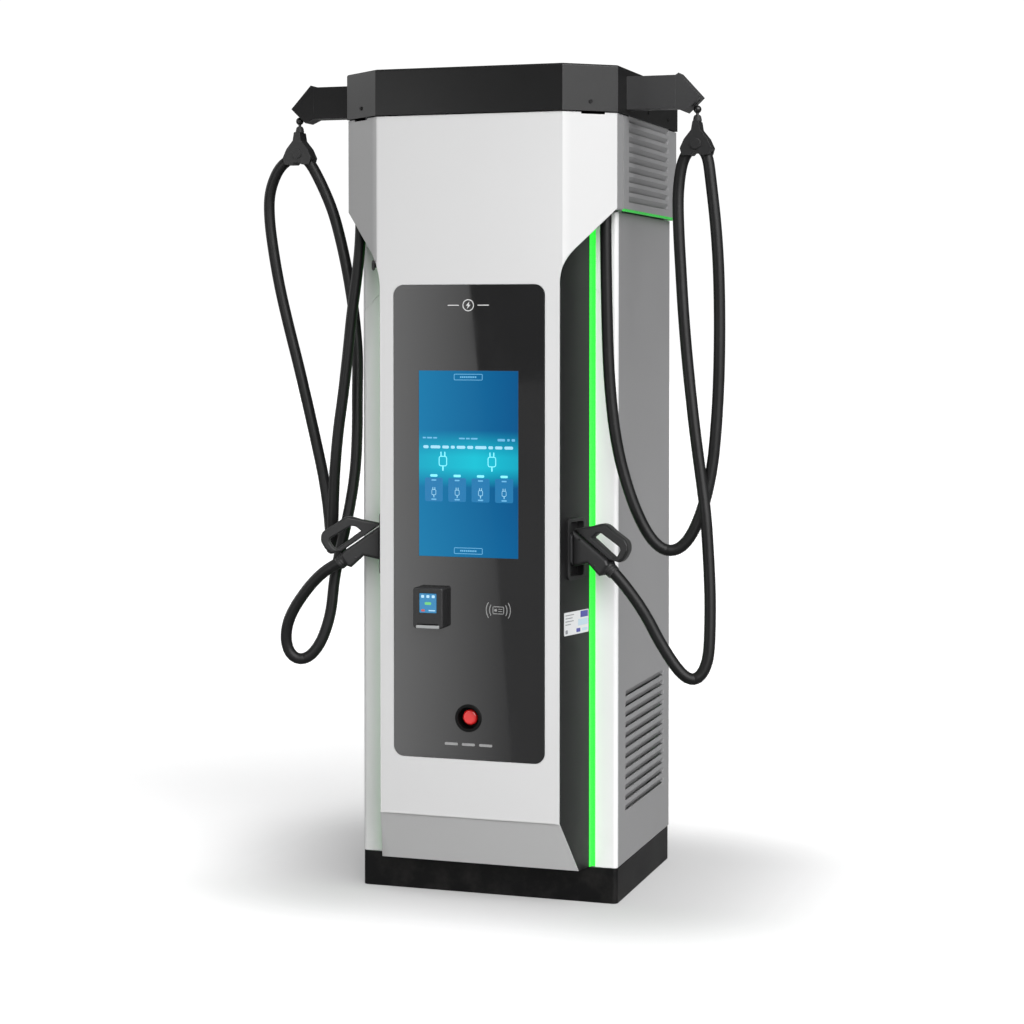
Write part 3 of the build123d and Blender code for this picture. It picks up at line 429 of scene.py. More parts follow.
def screen_field():
    """Idle picture on the display: blue field with a brighter cyan band."""
    n = new_material("screen_field")
    x, y, z = n.xyz(n.coords)
    across = n.ramp(x, span=(-0.15, 0.15))
    field = n.mix(across, (0.004, 0.21, 0.44), (0.0, 0.088, 0.27))
    band = n.times(n.ramp(z, span=(1.205, 1.262)), n.ramp(z, span=(1.368, 1.292)))
    from_core = n.math("ABSOLUTE", n.math("SUBTRACT", x, 0.02))
    band = n.times(band, n.ramp(from_core, span=(0.16, 0.0), to=(0.62, 1.0)))
    color = n.mix(band, field, (0.010, 0.66, 0.80))
    foot = n.ramp(z, span=(1.18, 1.01), to=(0.0, 0.45))
    color = n.mix(foot, color, n.mix(across, (0.010, 0.235, 0.47), (0.0, 0.145, 0.38)))
    line_pitch = 0.0011
    lines = n.add("ShaderNodeMath", {0: n.times(z, math.tau / line_pitch)}, operation="SINE")
    lines = n.ramp(lines.outputs[0], span=(-1, 1), to=(0.965, 1.0))
    # only faces turned to the front are lit, the grey back is not
    normal_x, normal_y, normal_z = n.xyz(n.normal)
    face = n.ramp(normal_y, span=(-0.6, -0.9))
    back = n.mix(n.ramp(n.noise(scale=40.0, detail=4.0)),
                 (0.10, 0.10, 0.105), (0.14, 0.14, 0.145))
    roughness = n.ramp(n.noise(scale=8.0, detail=4.0), span=(0.35, 0.7), to=(0.05, 0.11))
    return n.principled(n.mix(face, back, (0.006, 0.03, 0.06)), roughness, spec=0.07,
                        normal=n.bump(n.noise(scale=700.0), strength=0.05, distance=0.00002),
                        glow=color, glow_strength=n.times(face, n.times(lines, 0.82)))


# shared settings of related coats
SATIN = dict(rough=0.34, drift=0.02, peel=650, peel_depth=0.00008, wear_share=0.35,
             dust=0.05, coat=0.15)
POWDER = dict(drift=0.12, peel=1100, peel_depth=0.00016)
FILM = dict(rough=0.35, peel=900, peel_depth=0.00003, dust=0.0, coat=0.3)

slot_paints = {}                              # material slot of the CAD pieces -> material
slot_paints["light_grey_paint"] = coated("paint_light", grey(0.80), wear=grey(0.62), **SATIN)
cover = cover_paint("paint_cover_painted_shade", base=grey(0.80), side=(0.42, 0.42, 0.425))
# painted light: the column's white is set above the cover's paint, standing in for the glow of the green light strip
# beside it
column = coated("paint_column_painted_glow", grey(0.93), wear=grey(0.7), **SATIN)
slot_paints["grey_paint"] = coated(
    "paint_grey", (0.345, 0.345, 0.35), rough=0.40, drift=0.03, peel=650, peel_depth=0.00010,
    wear=grey(0.6), coat=0.08)
slot_paints["black_steel"] = coated(
    "powder_black", (0.0042, 0.0042, 0.0045), rough=0.36, wear=grey(0.10), wear_share=0.4,
    dust=0.02, spec=0.21, **POWDER)
cap = coated("powder_black_cap", (0.0048, 0.0048, 0.005), rough=0.34, wear=grey(0.10),
             wear_share=0.4, dust=0.0, spec=0.40, **POWDER)
# painted highlight: the right arm gets a black ten times lighter than the left arm's black_steel, standing in for the
# reflection it catches
arm_painted_highlight = coated("powder_black_arm_painted_highlight", (0.044, 0.044, 0.045), rough=0.36, wear=grey(0.12),
             wear_share=0.4, dust=0.0, spec=0.45, **POWDER)
cup = coated("cup_black", grey(0.0028), rough=0.50, drift=0.1, peel=1300, peel_depth=0.0001,
             wear=grey(0.03), wear_share=0.3, dust=0.0, spec=0.16)
ball = coated("ball_black", grey(0.012), rough=0.30, drift=0.1, peel=1300,
              peel_depth=0.00008, wear=grey(0.08), wear_share=0.3, dust=0.0)
bay_black = coated("powder_black_bay", (0.0072, 0.0072, 0.0076), wear=grey(0.12),
                   wear_share=0.45, dust=0.03, spec=0.4, **POWDER)
slot_paints["zinc_steel"] = metal("zinc", (0.60, 0.61, 0.62), spangle=True)
slot_paints["stop_metal"] = metal("stop_metal", (0.55, 0.55, 0.56), rough=0.28)
slot_paints["green_trim"] = lit("trim_green", (0.05, 0.60, 0.08), strength=0.31)
slot_paints["black_plastic"] = coated(
    "plastic_black", (0.013, 0.013, 0.0135), rough=0.46, drift=0.12, peel=1500,
    peel_depth=0.00016, wear=grey(0.10), wear_share=0.55, dust=0.05, edge_radius=0.0015)
slot_paints["insert_plastic"] = coated(
    "plastic_insert", (0.05, 0.05, 0.052), rough=0.36, drift=0.08, peel=1300,
    peel_depth=0.0001, wear=grey(0.12), dust=0.0)
slot_paints["soft_rubber"] = coated(
    "rubber_soft", grey(0.016), rough=0.62, drift=0.15, peel=1800, peel_depth=0.0002,
    wear=grey(0.05), dust=0.05, sheen=0.15, edge_radius=0.002)
slot_paints["red_plastic"] = coated(
    "plastic_red", (0.86, 0.022, 0.022), rough=0.22, drift=0.08, peel=500,
    peel_depth=0.00003, wear=(0.8, 0.2, 0.18), wear_share=0.25, dust=0.0, coat=0.7)
slot_paints["module_metal"] = metal("mill_aluminium", (0.66, 0.67, 0.68), stretch=(20, 1, 1))
slot_paints["cable_jacket"] = cable_jacket()
slot_paints["cord"] = braided_cord()
slot_paints["black_glass"] = dark_glass()
slot_paints["light_strip"] = lit("strip_green", (0.03, 0.55, 0.05), strength=1.0,
                                 glow=(0.02, 0.80, 0.035), pitch=0.0167)
slot_paints["screen"] = screen_field()

mark_white = mark_paint("ui_white", (0.36, 0.72, 0.92), strength=0.75)
mark_mid = mark_paint("ui_mid", (0.14, 0.46, 0.74), strength=0.75)
mark_tile = mark_paint("ui_tile", (0.0, 0.17, 0.40), strength=0.72)
mark_cyan = mark_paint("ui_cyan", (0.22, 0.82, 0.95), strength=0.9)
mark_green = mark_paint("ui_green", (0.20, 0.75, 0.25), strength=0.5)
mark_red = mark_paint("ui_red", (0.75, 0.12, 0.12), strength=0.4)
print_grey = mark_paint("print_grey", grey(0.42), strength=0.0, base=0.8)
print_white = mark_paint("print_white", grey(0.75), strength=0.0, base=1.0)
label_paints = [
    coated("label_film", (0.80, 0.81, 0.82), drift=0.02, wear=grey(0.6), **FILM),
    coated("label_blue", (0.055, 0.055, 0.36), drift=0.04, wear=(0.3, 0.3, 0.5), **FILM),
    coated("label_pale", (0.56, 0.72, 0.82), drift=0.04, wear=(0.5, 0.6, 0.7), **FILM),
    coated("label_grey", (0.30, 0.31, 0.33), drift=0.04, wear=grey(0.4), **FILM)]
silver = coated("plastic_silver", (0.36, 0.37, 0.37), rough=0.34, drift=0.04, peel=1200,
                peel_depth=0.00006, wear=grey(0.5), dust=0.0)

# pieces that differ from their slot, by full name and by the start of the name
# the right arm takes the lighter black that carries its painted highlight
node_paints = {"arm_right": arm_painted_highlight, "arm_tip_right": arm_painted_highlight, "front_cover": cover,
               "cap_shell": cap, "estop_collar": cup}
prefix_paints = {"cord_stop": ball, "column": column, "bay_panel": bay_black}


def paint_cad_pieces():
    for part in frame["record"]["subparts"]:
        name = part["node"]
        paint = slot_paints.get(part["material_slot"], slot_paints["black_plastic"])
        paint = node_paints.get(name, paint)
        for prefix, own_paint in prefix_paints.items():
            if name.startswith(prefix):
                paint = own_paint
        materials = frame["nodes"][name].data.materials
        materials.clear()
        materials.append(paint)


paint_cad_pieces()


# ---------------------------------------------------------------- mesh helpers
def new_object(name, bm, materials, smooth_angle=None):
    mesh = bpy.data.meshes.new(name)
    bmesh.ops.recalc_face_normals(bm, faces=bm.faces)
    bm.to_mesh(mesh)
    bm.free()
    obj = bpy.data.objects.new(name, mesh)
    bpy.context.scene.collection.objects.link(obj)
    for material in materials:
        mesh.materials.append(material)
    if smooth_angle is not None:
        for polygon in mesh.polygons:
            polygon.use_smooth = True
        # guards against a Blender without the bundled smooth-by-angle node group
        try:
            bpy.context.view_layer.objects.active = obj
            obj.select_set(True)
            bpy.ops.object.shade_auto_smooth(angle=math.radians(smooth_angle))
            obj.select_set(False)
        except Exception:
            pass
    return obj


def fit(name, bm, materials, parent, slot, smooth_angle=None):
    """Make an object that rides on a parent and belongs to a material slot."""
    obj = new_object(name, bm, materials, smooth_angle)
    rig.ride(obj, parent)
    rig.slot(obj, slot)


def bridge(bm, *pairs, mat=0, smooth=False):
    """Join each pair of closed vertex loops by a belt of quads."""
    count = len(pairs[0][0])
    for i in range(count):
        j = (i + 1) % count
        for a, b in pairs:
            face = bm.faces.new((a[i], a[j], b[j], b[i]))
            face.material_index = mat
            face.smooth = smooth


def circle(bm, centre, x_axis, y_axis, radius, count):
    angles = [math.tau * i / count for i in range(count)]
    return [bm.verts.new(centre + (x_axis * math.cos(a) + y_axis * math.sin(a)) * radius)
            for a in angles]


def spline(knots, count=None, step=None):
    """Catmull-Rom points through all knots but the first and last, which only steer it.

    Each span gets count points, or one about every step. The end point is left out.
    """
    points = []
    for p0, p1, p2, p3 in zip(knots, knots[1:], knots[2:], knots[3:]):
        span_count = count or max(2, int((p2 - p1).length / step))
        for i in range(span_count):
            t = i / span_count
            points.append(0.5 * ((2 * p1) + (p2 - p0) * t
                                 + (2 * p0 - 5 * p1 + 4 * p2 - p3) * (t * t)
                                 + (3 * p1 - p0 - 3 * p2 + p3) * (t * t * t)))
    return points


def relax(path, rounds):
    """Average each inner point with its neighbours."""
    for _ in range(rounds):
        inner = [(a + b * 2 + c) / 4 for a, b, c in zip(path, path[1:], path[2:])]
        path = [path[0]] + inner + [path[-1]]
    return path


def tube(path, radius, count=24, side=Vector((0, 1, 0)), domed=True):
    """Round tube along a path; side is where the first vertex of each ring points."""
    bm = bmesh.new()
    last = len(path) - 1
    tangents = [(path[min(i + 1, last)] - path[max(i - 1, 0)]).normalized()
                for i in range(last + 1)]
    sections = [(point, tangent, radius) for point, tangent in zip(path, tangents)]
    if domed:
        def dome(point, tangent, direction, degrees):
            return [(point + tangent * direction * radius * math.sin(a) * 0.6, tangent,
                     radius * math.cos(a)) for a in map(math.radians, degrees)]
        sections = (dome(path[0], tangents[0], -1, (80, 55, 28)) + sections
                    + dome(path[-1], tangents[-1], 1, (28, 55, 80)))
    rings = []
    for centre, tangent, ring_radius in sections:
        side = (side - tangent * side.dot(tangent)).normalized()
        rings.append(circle(bm, centre, side, tangent.cross(side), ring_radius, count))
    for a, b in zip(rings, rings[1:]):
        bridge(bm, (a, b), smooth=True)
    bm.faces.new(list(reversed(rings[0])))
    bm.faces.new(rings[-1])
    return bm


def on_front(a, b, depth):
    """Place an outline point (x, z) at y = depth."""
    return (a, depth, b)


def on_bay(a, b, depth):
    """Place an outline point on the right bay panel, depth metres out of it."""
    return BAY @ Vector((depth, a, b))


def prism(bm, outline, depths, mat=0, bevel=0.0001, place=on_front):
    """Closed prism over a 2-D outline, from face depth to base depth, face chamfered."""
    face, base = depths
    count = len(outline)
    middle_a = sum(p[0] for p in outline) / count
    middle_b = sum(p[1] for p in outline) / count

    def loop(inset, depth):
        verts = []
        for a, b in outline:
            arm_ = Vector((a - middle_a, b - middle_b))
            arm_ = arm_ - arm_.normalized() * inset
            verts.append(bm.verts.new(place(middle_a + arm_.x, middle_b + arm_.y, depth)))
        return verts

    shoulder = face + (bevel if base > face else -bevel)
    loops = [loop(0.0, base), loop(0.0, shoulder), loop(bevel, face)]
    for a, b in zip(loops, loops[1:]):
        bridge(bm, (a, b), mat=mat)
    bm.faces.new(loops[0]).material_index = mat
    bm.faces.new(list(reversed(loops[-1]))).material_index = mat


def rounded_rect(centre, size, radius, steps):
    half_w, half_h = size[0] / 2, size[1] / 2
    radius = min(radius, half_w - 1e-5, half_h - 1e-5)
    points = []
    for corner, (sx, sy) in enumerate(((1, 1), (-1, 1), (-1, -1), (1, -1))):
        for i in range(steps + 1):
            angle = math.radians(90 * corner + 90 * i / steps)
            points.append((centre[0] + sx * (half_w - radius) + radius * math.cos(angle),
                           centre[1] + sy * (half_h - radius) + radius * math.sin(angle)))
    return points


def pad(bm, centre, size, radius, depths, mat=0, steps=3, bevel=0.0001, place=on_front):
    """Thin raised rounded rectangle."""
    prism(bm, rounded_rect(centre, size, radius, steps), depths, mat, bevel, place)


def line_normal(before, after):
    tangent = (Vector(after) - Vector(before)).normalized()
    return Vector((-tangent.y, tangent.x))


def strip(bm, points, width, depths):
    """Thin raised line on the front through 2-D points."""
    last = len(points) - 1
    edges = []
    for i, point in enumerate(points):
        offset = line_normal(points[max(i - 1, 0)], points[min(i + 1, last)]) * width / 2
        edges.append(((point[0] + offset.x, point[1] + offset.y),
                      (point[0] - offset.x, point[1] - offset.y)))
    top, bottom = [[(bm.verts.new(on_front(*left, depth)), bm.verts.new(on_front(*right, depth)))
                    for left, right in edges] for depth in depths]
    for (tl, tr), (tl2, tr2), (bl, br), (bl2, br2) in zip(top, top[1:], bottom, bottom[1:]):
        bm.faces.new((tl, tr, tr2, tl2))
        bm.faces.new((br, bl, bl2, br2))
        bm.faces.new((tl, tl2, bl2, bl))
        bm.faces.new((tr2, tr, br, br2))
    bm.faces.new((top[0][1], top[0][0], bottom[0][0], bottom[0][1]))
    bm.faces.new((top[-1][0], top[-1][1], bottom[-1][1], bottom[-1][0]))


def outline_frame(bm, outline, width, depths, mat=0):
    """Closed thin frame on the front, just inside an outline."""
    count = len(outline)
    middle = Vector((sum(p[0] for p in outline) / count, sum(p[1] for p in outline) / count))
    outer = [Vector(p) for p in outline]
    inner = []
    for i, point in enumerate(outer):
        inward = line_normal(outer[i - 1], outer[(i + 1) % count])
        if inward.dot(middle - point) < 0:
            inward = -inward
        inner.append(point + inward * width)
    outer_top, inner_top, outer_base, inner_base = [
        [bm.verts.new(on_front(p.x, p.y, depth)) for p in loop]
        for depth in depths for loop in (outer, inner)]
    bridge(bm, (outer_top, inner_top), (inner_top, inner_base), (inner_base, outer_base),
           (outer_base, outer_top), mat=mat)


# ---------------------------------------------------------------- charging cables
# centre lines from the top of the station to the connector, (x, y, z) in millimetres
CABLE_RIGHT = [
    (370, -352, 2040), (370.2, -352, 1922), (371.8, -352, 1803.9), (374.4, -352, 1685.6),
    (378.4, -352.1, 1568.8), (386.5, -351.7, 1455.5), (400.5, -349.9, 1344),
    (423.4, -346.1, 1241.3), (458.7, -339.9, 1137.2), (500.5, -332.2, 1058.8),
    (541.1, -324.2, 1025), (577.4, -316.5, 1031.8), (614.7, -308.1, 1078.2),
    (647.1, -299.6, 1166.9), (666.9, -291.2, 1268.8), (676.8, -285.7, 1380.2),
    (682.1, -280.7, 1496.1), (683.4, -275.3, 1611.3), (681.9, -270.4, 1727.2),
    (677.4, -266.1, 1842.5), (668.2, -261.7, 1956), (654, -257, 2070.8), (641.5, -255, 2154.9),
    (622.8, -255, 2179.2), (598.7, -255, 2176.8), (572.7, -255, 2145.1), (558.2, -256.7, 2051.9),
    (560.6, -261.7, 1944.3), (568.3, -267.1, 1830), (577.1, -273.5, 1715), (588.7, -281.8, 1599),
    (602.6, -290.1, 1483.1), (618.4, -299.6, 1367.3), (636.5, -310, 1253.4),
    (654.1, -321.1, 1141.6), (665.4, -332.5, 1028.1), (674, -345, 905), (676, -356, 802),
    (673, -365, 727), (659, -372, 685), (639, -379, 665), (616, -386, 675), (587, -392, 707),
    (539, -402, 784), (513, -409, 837), (486, -415, 882), (459, -420, 920), (437, -424, 948),
    (412.6, -427.3, 975)]
CABLE_LEFT = [
    (-376, -354, 2040), (-377.9, -354.4, 1923.9), (-387.5, -357.9, 1813.7),
    (-402.8, -361.4, 1698.5), (-415.4, -362.7, 1580.9), (-429.8, -362.8, 1466.1),
    (-446.9, -361.7, 1350.7), (-458.9, -358.4, 1237), (-467.8, -349.2, 1125.4),
    (-478.6, -329, 1038.8), (-492.4, -301.3, 997.4), (-506.4, -272.3, 993.8),
    (-521, -242.4, 1023.6), (-534.6, -223.1, 1094.5), (-552.2, -218.5, 1199.9),
    (-577.5, -218.6, 1313.1), (-604.3, -221.5, 1429), (-631.7, -225.8, 1545.2),
    (-660.9, -230.5, 1661.4), (-687.2, -235.6, 1776.4), (-705.7, -241, 1886),
    (-717.3, -246.2, 1991.3), (-711.6, -251.7, 2075.7), (-672.8, -254.9, 2152.2),
    (-619.6, -255, 2178.5), (-590.8, -255, 2170.5), (-553.1, -257, 2111.3),
    (-505.8, -263.8, 2015.8), (-472.5, -271, 1912.2), (-445.1, -279.5, 1801.8),
    (-424, -288.1, 1689.5), (-411.2, -295.7, 1578.8), (-409, -303.5, 1463.2),
    (-406.8, -310.9, 1348.6), (-410.4, -318.8, 1235.7), (-423.8, -331.1, 1125),
    (-445, -345.6, 1010.2), (-462, -356, 915), (-472, -363, 813), (-500, -375.5, 724),
    (-540, -385.5, 677), (-572, -392, 672), (-592, -398, 697), (-599, -403.5, 736),
    (-592, -409, 780), (-570, -413.5, 826), (-538, -418, 871), (-500, -422, 915),
    (-458, -425.5, 951), (-412.6, -427.3, 975)]
FEED_END, GUN_START = 10, 40                  # table rows where a cable is cut in three


def build_cable(table, side):
    """Feed part fixed to the station, loop over the hanger, and the part to the connector."""
    points = [Vector(p) / 1000 for p in table]
    knots = [points[0] * 2 - points[1]] + points + [points[-1] * 2 - points[-2]]
    path = relax(spline(knots, step=0.012) + [points[-1]], rounds=6)
    feed_end, gun_start = (
        min(range(len(path)), key=lambda i: (path[i] - points[row]).length)
        for row in (FEED_END, GUN_START))
    feed, loop, gun = (
        new_object(f"cable_{part}_{side}", tube(piece, CABLE_RADIUS),
                   [slot_paints["cable_jacket"]])
        for part, piece in (("feed", path[:feed_end + 1]),
                            ("loop", path[feed_end:gun_start + 1]),
                            ("gun", path[gun_start:])))
    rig.ride(feed, "root")
    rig.blend(loop, "root", "hanger_" + side, start=(0, 0, 1.10), end=(0, 0, 2.12))
    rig.blend(gun, "root", "connector_" + side,
             start=tuple(path[gun_start]), end=tuple(path[-8]))
    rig.replaces(loop, "cable_" + side)
    for piece in (feed, loop, gun):
        piece.visible_shadow = False
        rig.slot(piece, "cable_jacket")


build_cable(CABLE_RIGHT, "right")
build_cable(CABLE_LEFT, "left")


# ---------------------------------------------------------------- cords over the pulleys
def build_cord(side, sign):
    """Level run and quarter turn on the pulley, then the hanging part."""
    def point(x, z):
        return Vector((sign * x, PULLEY_Y, z))

    run = [point(x, PULLEY_Z + PULLEY_RADIUS) for x in np.linspace(0.262, PULLEY_X, 30)]
    run += [point(PULLEY_X + PULLEY_RADIUS * math.sin(angle),
                  PULLEY_Z + PULLEY_RADIUS * math.cos(angle))
            for angle in np.linspace(0, math.pi / 2, 14)[1:]]
    run.append(point(CORD_DROP_X, PULLEY_Z - 0.0005))
    top = new_object("cord_run_" + side, tube(run, CORD_RADIUS, count=12, domed=False),
                     [slot_paints["cord"]])
    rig.ride(top, "root")
    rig.replaces(top, "cord_" + side)
    hanging = [point(CORD_DROP_X, z) for z in np.linspace(PULLEY_Z, 2.2915, 16)]
    drop = new_object("cord_drop_" + side,
                      tube(hanging, CORD_RADIUS, count=12, side=Vector((1, 0, 0)), domed=False),
                      [slot_paints["cord"]])
    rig.blend(drop, "root", "hanger_" + side, start=(0, 0, 2.316), end=(0, 0, 2.2925))
    for piece in (top, drop):
        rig.slot(piece, "cord")


for side, sign in SIDES:
    build_cord(side, sign)

# ---------------------------------------------------------------- screen picture
bm = bmesh.new()
pad(bm, (0, SCREEN_Z), (SCREEN_W - 0.001, SCREEN_H - 0.001), 0.001,
    depths=(GLASS_Y - 0.0006, GLASS_Y - 0.0001), bevel=0.0002)
fit("screen_picture", bm, [slot_paints["screen"]], parent="front_cover", slot="screen")

MARK_DEPTHS = (GLASS_Y - 0.0009, GLASS_Y - 0.0005)
TILE_DEPTHS = (GLASS_Y - 0.0008, GLASS_Y - 0.0005)
WHITE, MID, TILE, CYAN = range(4)             # material indices of the screen marks


def screen_bar(bm, x, drop, width, height, radius, mat):
    """Rounded bar centred at x, drop metres below the top of the screen."""
    pad(bm, (x, SCREEN_TOP - drop), (width, height), radius, MARK_DEPTHS, mat)


def bar_row(bm, x, drop, widths, height, radius, gap, mat):
    """Row of bars that starts at x."""
    for width in widths:
        screen_bar(bm, x + width / 2, drop, width, height, radius, mat)
        x += width + gap


def plug_sign(bm, x, drop, scale, mat):
    """Charging plug with its lead: framed body, two pins above and a stem below."""
    z = SCREEN_TOP - drop
    body = rounded_rect((x, z - 0.016 * scale), (0.022 * scale, 0.026 * scale),
                        0.006 * scale, steps=4)
    outline_frame(bm, body, 0.0022 * scale, MARK_DEPTHS, mat)
    for sign in (-1, 1):
        pad(bm, (x + sign * 0.005 * scale, z + 0.002 * scale), (0.003 * scale, 0.011 * scale),
            0.0014 * scale, MARK_DEPTHS, mat)
    pad(bm, (x, z - 0.034 * scale), (0.0036 * scale, 0.012 * scale), 0.0016 * scale,
        MARK_DEPTHS, mat)


def build_screen_marks():
    bm = bmesh.new()
    for drop in (0.018, SCREEN_H - 0.018):    # framed pills with nine dots, at both ends
        pill = rounded_rect((0, SCREEN_TOP - drop), (0.086, 0.018), 0.003, steps=3)
        outline_frame(bm, pill, 0.0016, MARK_DEPTHS, MID)
        for i in range(9):
            screen_bar(bm, -0.0224 + i * 0.0056, drop, 0.0040, 0.0048, 0.0012, MID)
    # status row: two groups of bars and three taller ones on the right
    small = dict(height=0.0042, radius=0.0018, gap=0.003, mat=MID)
    bar_row(bm, -0.138, 0.192, (0.010, 0.016, 0.012), **small)
    bar_row(bm, -0.028, 0.193, (0.018, 0.012, 0.020), **small)
    for x, width in ((0.088, 0.022), (0.117, 0.007), (0.130, 0.010)):
        screen_bar(bm, x + width / 2, 0.196, width, 0.007, 0.002, MID)
    headline = (0.016, 0.030, 0.020, 0.012, 0.026, 0.018, 0.034, 0.014, 0.022, 0.026)
    bar_row(bm, -0.136, 0.218, headline, height=0.0085, radius=0.0035, gap=0.0058, mat=WHITE)
    for x in (-0.0765, 0.071):
        plug_sign(bm, x, 0.240, 1.15, CYAN)
    for i in range(4):                        # four choices
        x = -0.104 + i * 0.0705
        pad(bm, (x, SCREEN_TOP - 0.340), (0.054, 0.068), 0.005, TILE_DEPTHS, TILE, steps=4)
        screen_bar(bm, x, 0.300, 0.022, 0.007, 0.003, CYAN)
        screen_bar(bm, x, 0.313, 0.015, 0.004, 0.0018, MID)
        plug_sign(bm, x, 0.338, 0.62, WHITE)
        screen_bar(bm, x, 0.368, 0.016, 0.004, 0.0018, MID)
    fit("screen_marks", bm, [mark_white, mark_mid, mark_tile, mark_cyan],
        parent="front_cover", slot="screen")


build_screen_marks()

# ---------------------------------------------------------------- marks printed on the glass
PRINT_DEPTHS = (GLASS_Y - 0.00035, GLASS_Y + 0.0001)


def build_contactless_sign():
    """Framed card with two arcs on each side."""
    bm = bmesh.new()
    x, z = 0.090, 0.858
    outline_frame(bm, rounded_rect((x, z), (0.034, 0.022), 0.0035, steps=4), 0.0020,
                  PRINT_DEPTHS)
    pad(bm, (x - 0.008, z), (0.0075, 0.0065), 0.0012, PRINT_DEPTHS)
    for rise in (-0.0032, 0.0032):
        pad(bm, (x + 0.006, z + rise), (0.012, 0.0016), 0.0007, PRINT_DEPTHS)
    for sign in (-1, 1):
        for radius, half_angle in ((0.030, 30), (0.040, 33)):
            angles = [math.radians(t) for t in np.linspace(-half_angle, half_angle, 17)]
            arc = [(x + sign * (radius * math.cos(a) - 0.004), z + radius * math.sin(a))
                   for a in angles]
            strip(bm, arc, 0.0023, PRINT_DEPTHS)
    fit("contactless_sign", bm, [print_grey], parent="front_cover", slot="black_glass")


def build_bolt_sign():
    """Bolt of two triangles in a ring near the top, with a bar on each side."""
    bm = bmesh.new()
    z, radius, count = 1.724, 0.017, 40
    angles = [math.tau * i / count for i in range(count)]
    ring = [(radius * math.cos(a), z + radius * math.sin(a)) for a in angles]
    outline_frame(bm, ring, 0.0024, PRINT_DEPTHS)
    for sign in (1, -1):
        half_bolt = ((0.0035, 0.0105), (-0.0068, -0.0012), (0.0004, -0.0012))
        prism(bm, [(sign * a, z + sign * b) for a, b in half_bolt], PRINT_DEPTHS,
              bevel=0.00005)
    for sign in (-1, 1):
        pad(bm, (sign * 0.045, z), (0.034, 0.0026), 0.0012, PRINT_DEPTHS)
    fit("bolt_sign", bm, [print_white], parent="front_cover", slot="black_glass")


def build_lower_rule():
    """Three bars in a row low on the glass."""
    bm = bmesh.new()
    for x in (-0.052, 0.0, 0.052):
        pad(bm, (x, 0.470), (0.040, 0.0075), 0.0036, PRINT_DEPTHS, steps=4)
    fit("lower_rule", bm, [print_grey], parent="front_cover", slot="black_glass")


build_contactless_sign()
build_bolt_sign()
build_lower_rule()

# ---------------------------------------------------------------- payment terminal face
TERMINAL_X, TERMINAL_Y, TERMINAL_Z = -0.110, -0.5115, 0.875
# dx, dz from the middle, width, height, corner radius, material index, lift
TERMINAL_PADS = [
    (0.0, 0.0, 0.0515, 0.0555, 0.002, 0, 0.0003),
    (-0.016, 0.019, 0.009, 0.008, 0.002, 1, 0.0006),
    (0.0, 0.019, 0.009, 0.008, 0.002, 1, 0.0006),
    (0.016, 0.019, 0.009, 0.008, 0.002, 1, 0.0006),
    (0.0, -0.001, 0.020, 0.008, 0.003, 2, 0.0006),
    (-0.015, -0.021, 0.011, 0.006, 0.002, 3, 0.0006),
    (0.012, -0.021, 0.020, 0.003, 0.001, 1, 0.0006)]

bm = bmesh.new()
for dx, dz, width, height, radius, mat, lift in TERMINAL_PADS:
    pad(bm, (TERMINAL_X + dx, TERMINAL_Z + dz), (width, height), radius,
        (TERMINAL_Y - lift, TERMINAL_Y + 0.0001), mat)
terminal_paints = [mark_paint("term_blue", (0.03, 0.21, 0.42), strength=0.8),
                   mark_paint("term_pale", (0.45, 0.72, 0.90), strength=0.8),
                   mark_green, mark_red]
fit("terminal_picture", bm, terminal_paints, parent="front_cover", slot="screen")

bm = bmesh.new()
pad(bm, (TERMINAL_X, 0.8075), (0.070, 0.0085), 0.002, (-0.5152, -0.5138), steps=4, bevel=0.0004)
fit("terminal_lip", bm, [silver], parent="front_cover", slot="module_metal")

# ---------------------------------------------------------------- film on the right bay panel
# place along the panel, z, width, height, corner radius, index in label_paints
FILM_PADS = [(0.0475, 0.8425, 0.040, 0.018, 0.001, 1), (0.041, 0.820, 0.052, 0.018, 0.001, 2),
             (0.016, 0.7985, 0.021, 0.011, 0.002, 1)]
FILM_PADS += [(-0.053 + width / 2, 0.8455 - i * 0.0088, width, 0.0026, 0.001, 3)
              for i, width in enumerate((0.046, 0.038, 0.044, 0.029))]
FILM_PADS += [(-0.0465, 0.7985, 0.012, 0.011, 0.002, 3), (0.050, 0.7985, 0.030, 0.008, 0.002, 2)]

bm = bmesh.new()
pad(bm, (0.006, 0.821), (0.131, 0.066), 0.003, (0.00045, -0.0001), steps=4, place=on_bay)
for along, z, width, height, radius, mat in FILM_PADS:
    pad(bm, (along, z), (width, height), radius, (0.0007, 0.0003), mat, place=on_bay)
fit("info_film", bm, label_paints, parent="root", slot="black_steel")

# ---------------------------------------------------------------- connector details
# outlines in the handle's plane: bay-frame x, z in millimetres
HANDLE_OUTER = [
    (6, 1088), (60, 1098.6), (103.4, 1107), (138, 1086.2), (169.8, 1066.3), (177, 1058),
    (179.5, 1048), (178.8, 1036), (173, 1024), (166, 1013.8), (157.5, 1006.8), (148.8, 1003.4)]
HANDLE_HOLE = [
    (61.9, 1067), (70, 1074.2), (77.3, 1080), (85, 1082.2), (92.8, 1082), (123, 1064),
    (150, 1048), (155.2, 1043), (156.5, 1036), (152.5, 1028), (147.8, 1021), (143, 1016.5),
    (138.1, 1014), (129.4, 1017), (97, 1041), (68, 1062.3)]
# section of a rubber band: share of its half width, share of its height off the rim
BAND_SECTION = [(-1.0, 0.0), (-0.92, 0.75), (-0.55, 1.0), (0.0, 1.08), (0.55, 1.0),
                (0.92, 0.75), (1.0, 0.0), (0.9, -0.9), (0.0, -1.0), (-0.9, -0.9)]
BAND_HALF_WIDTH = 0.0104


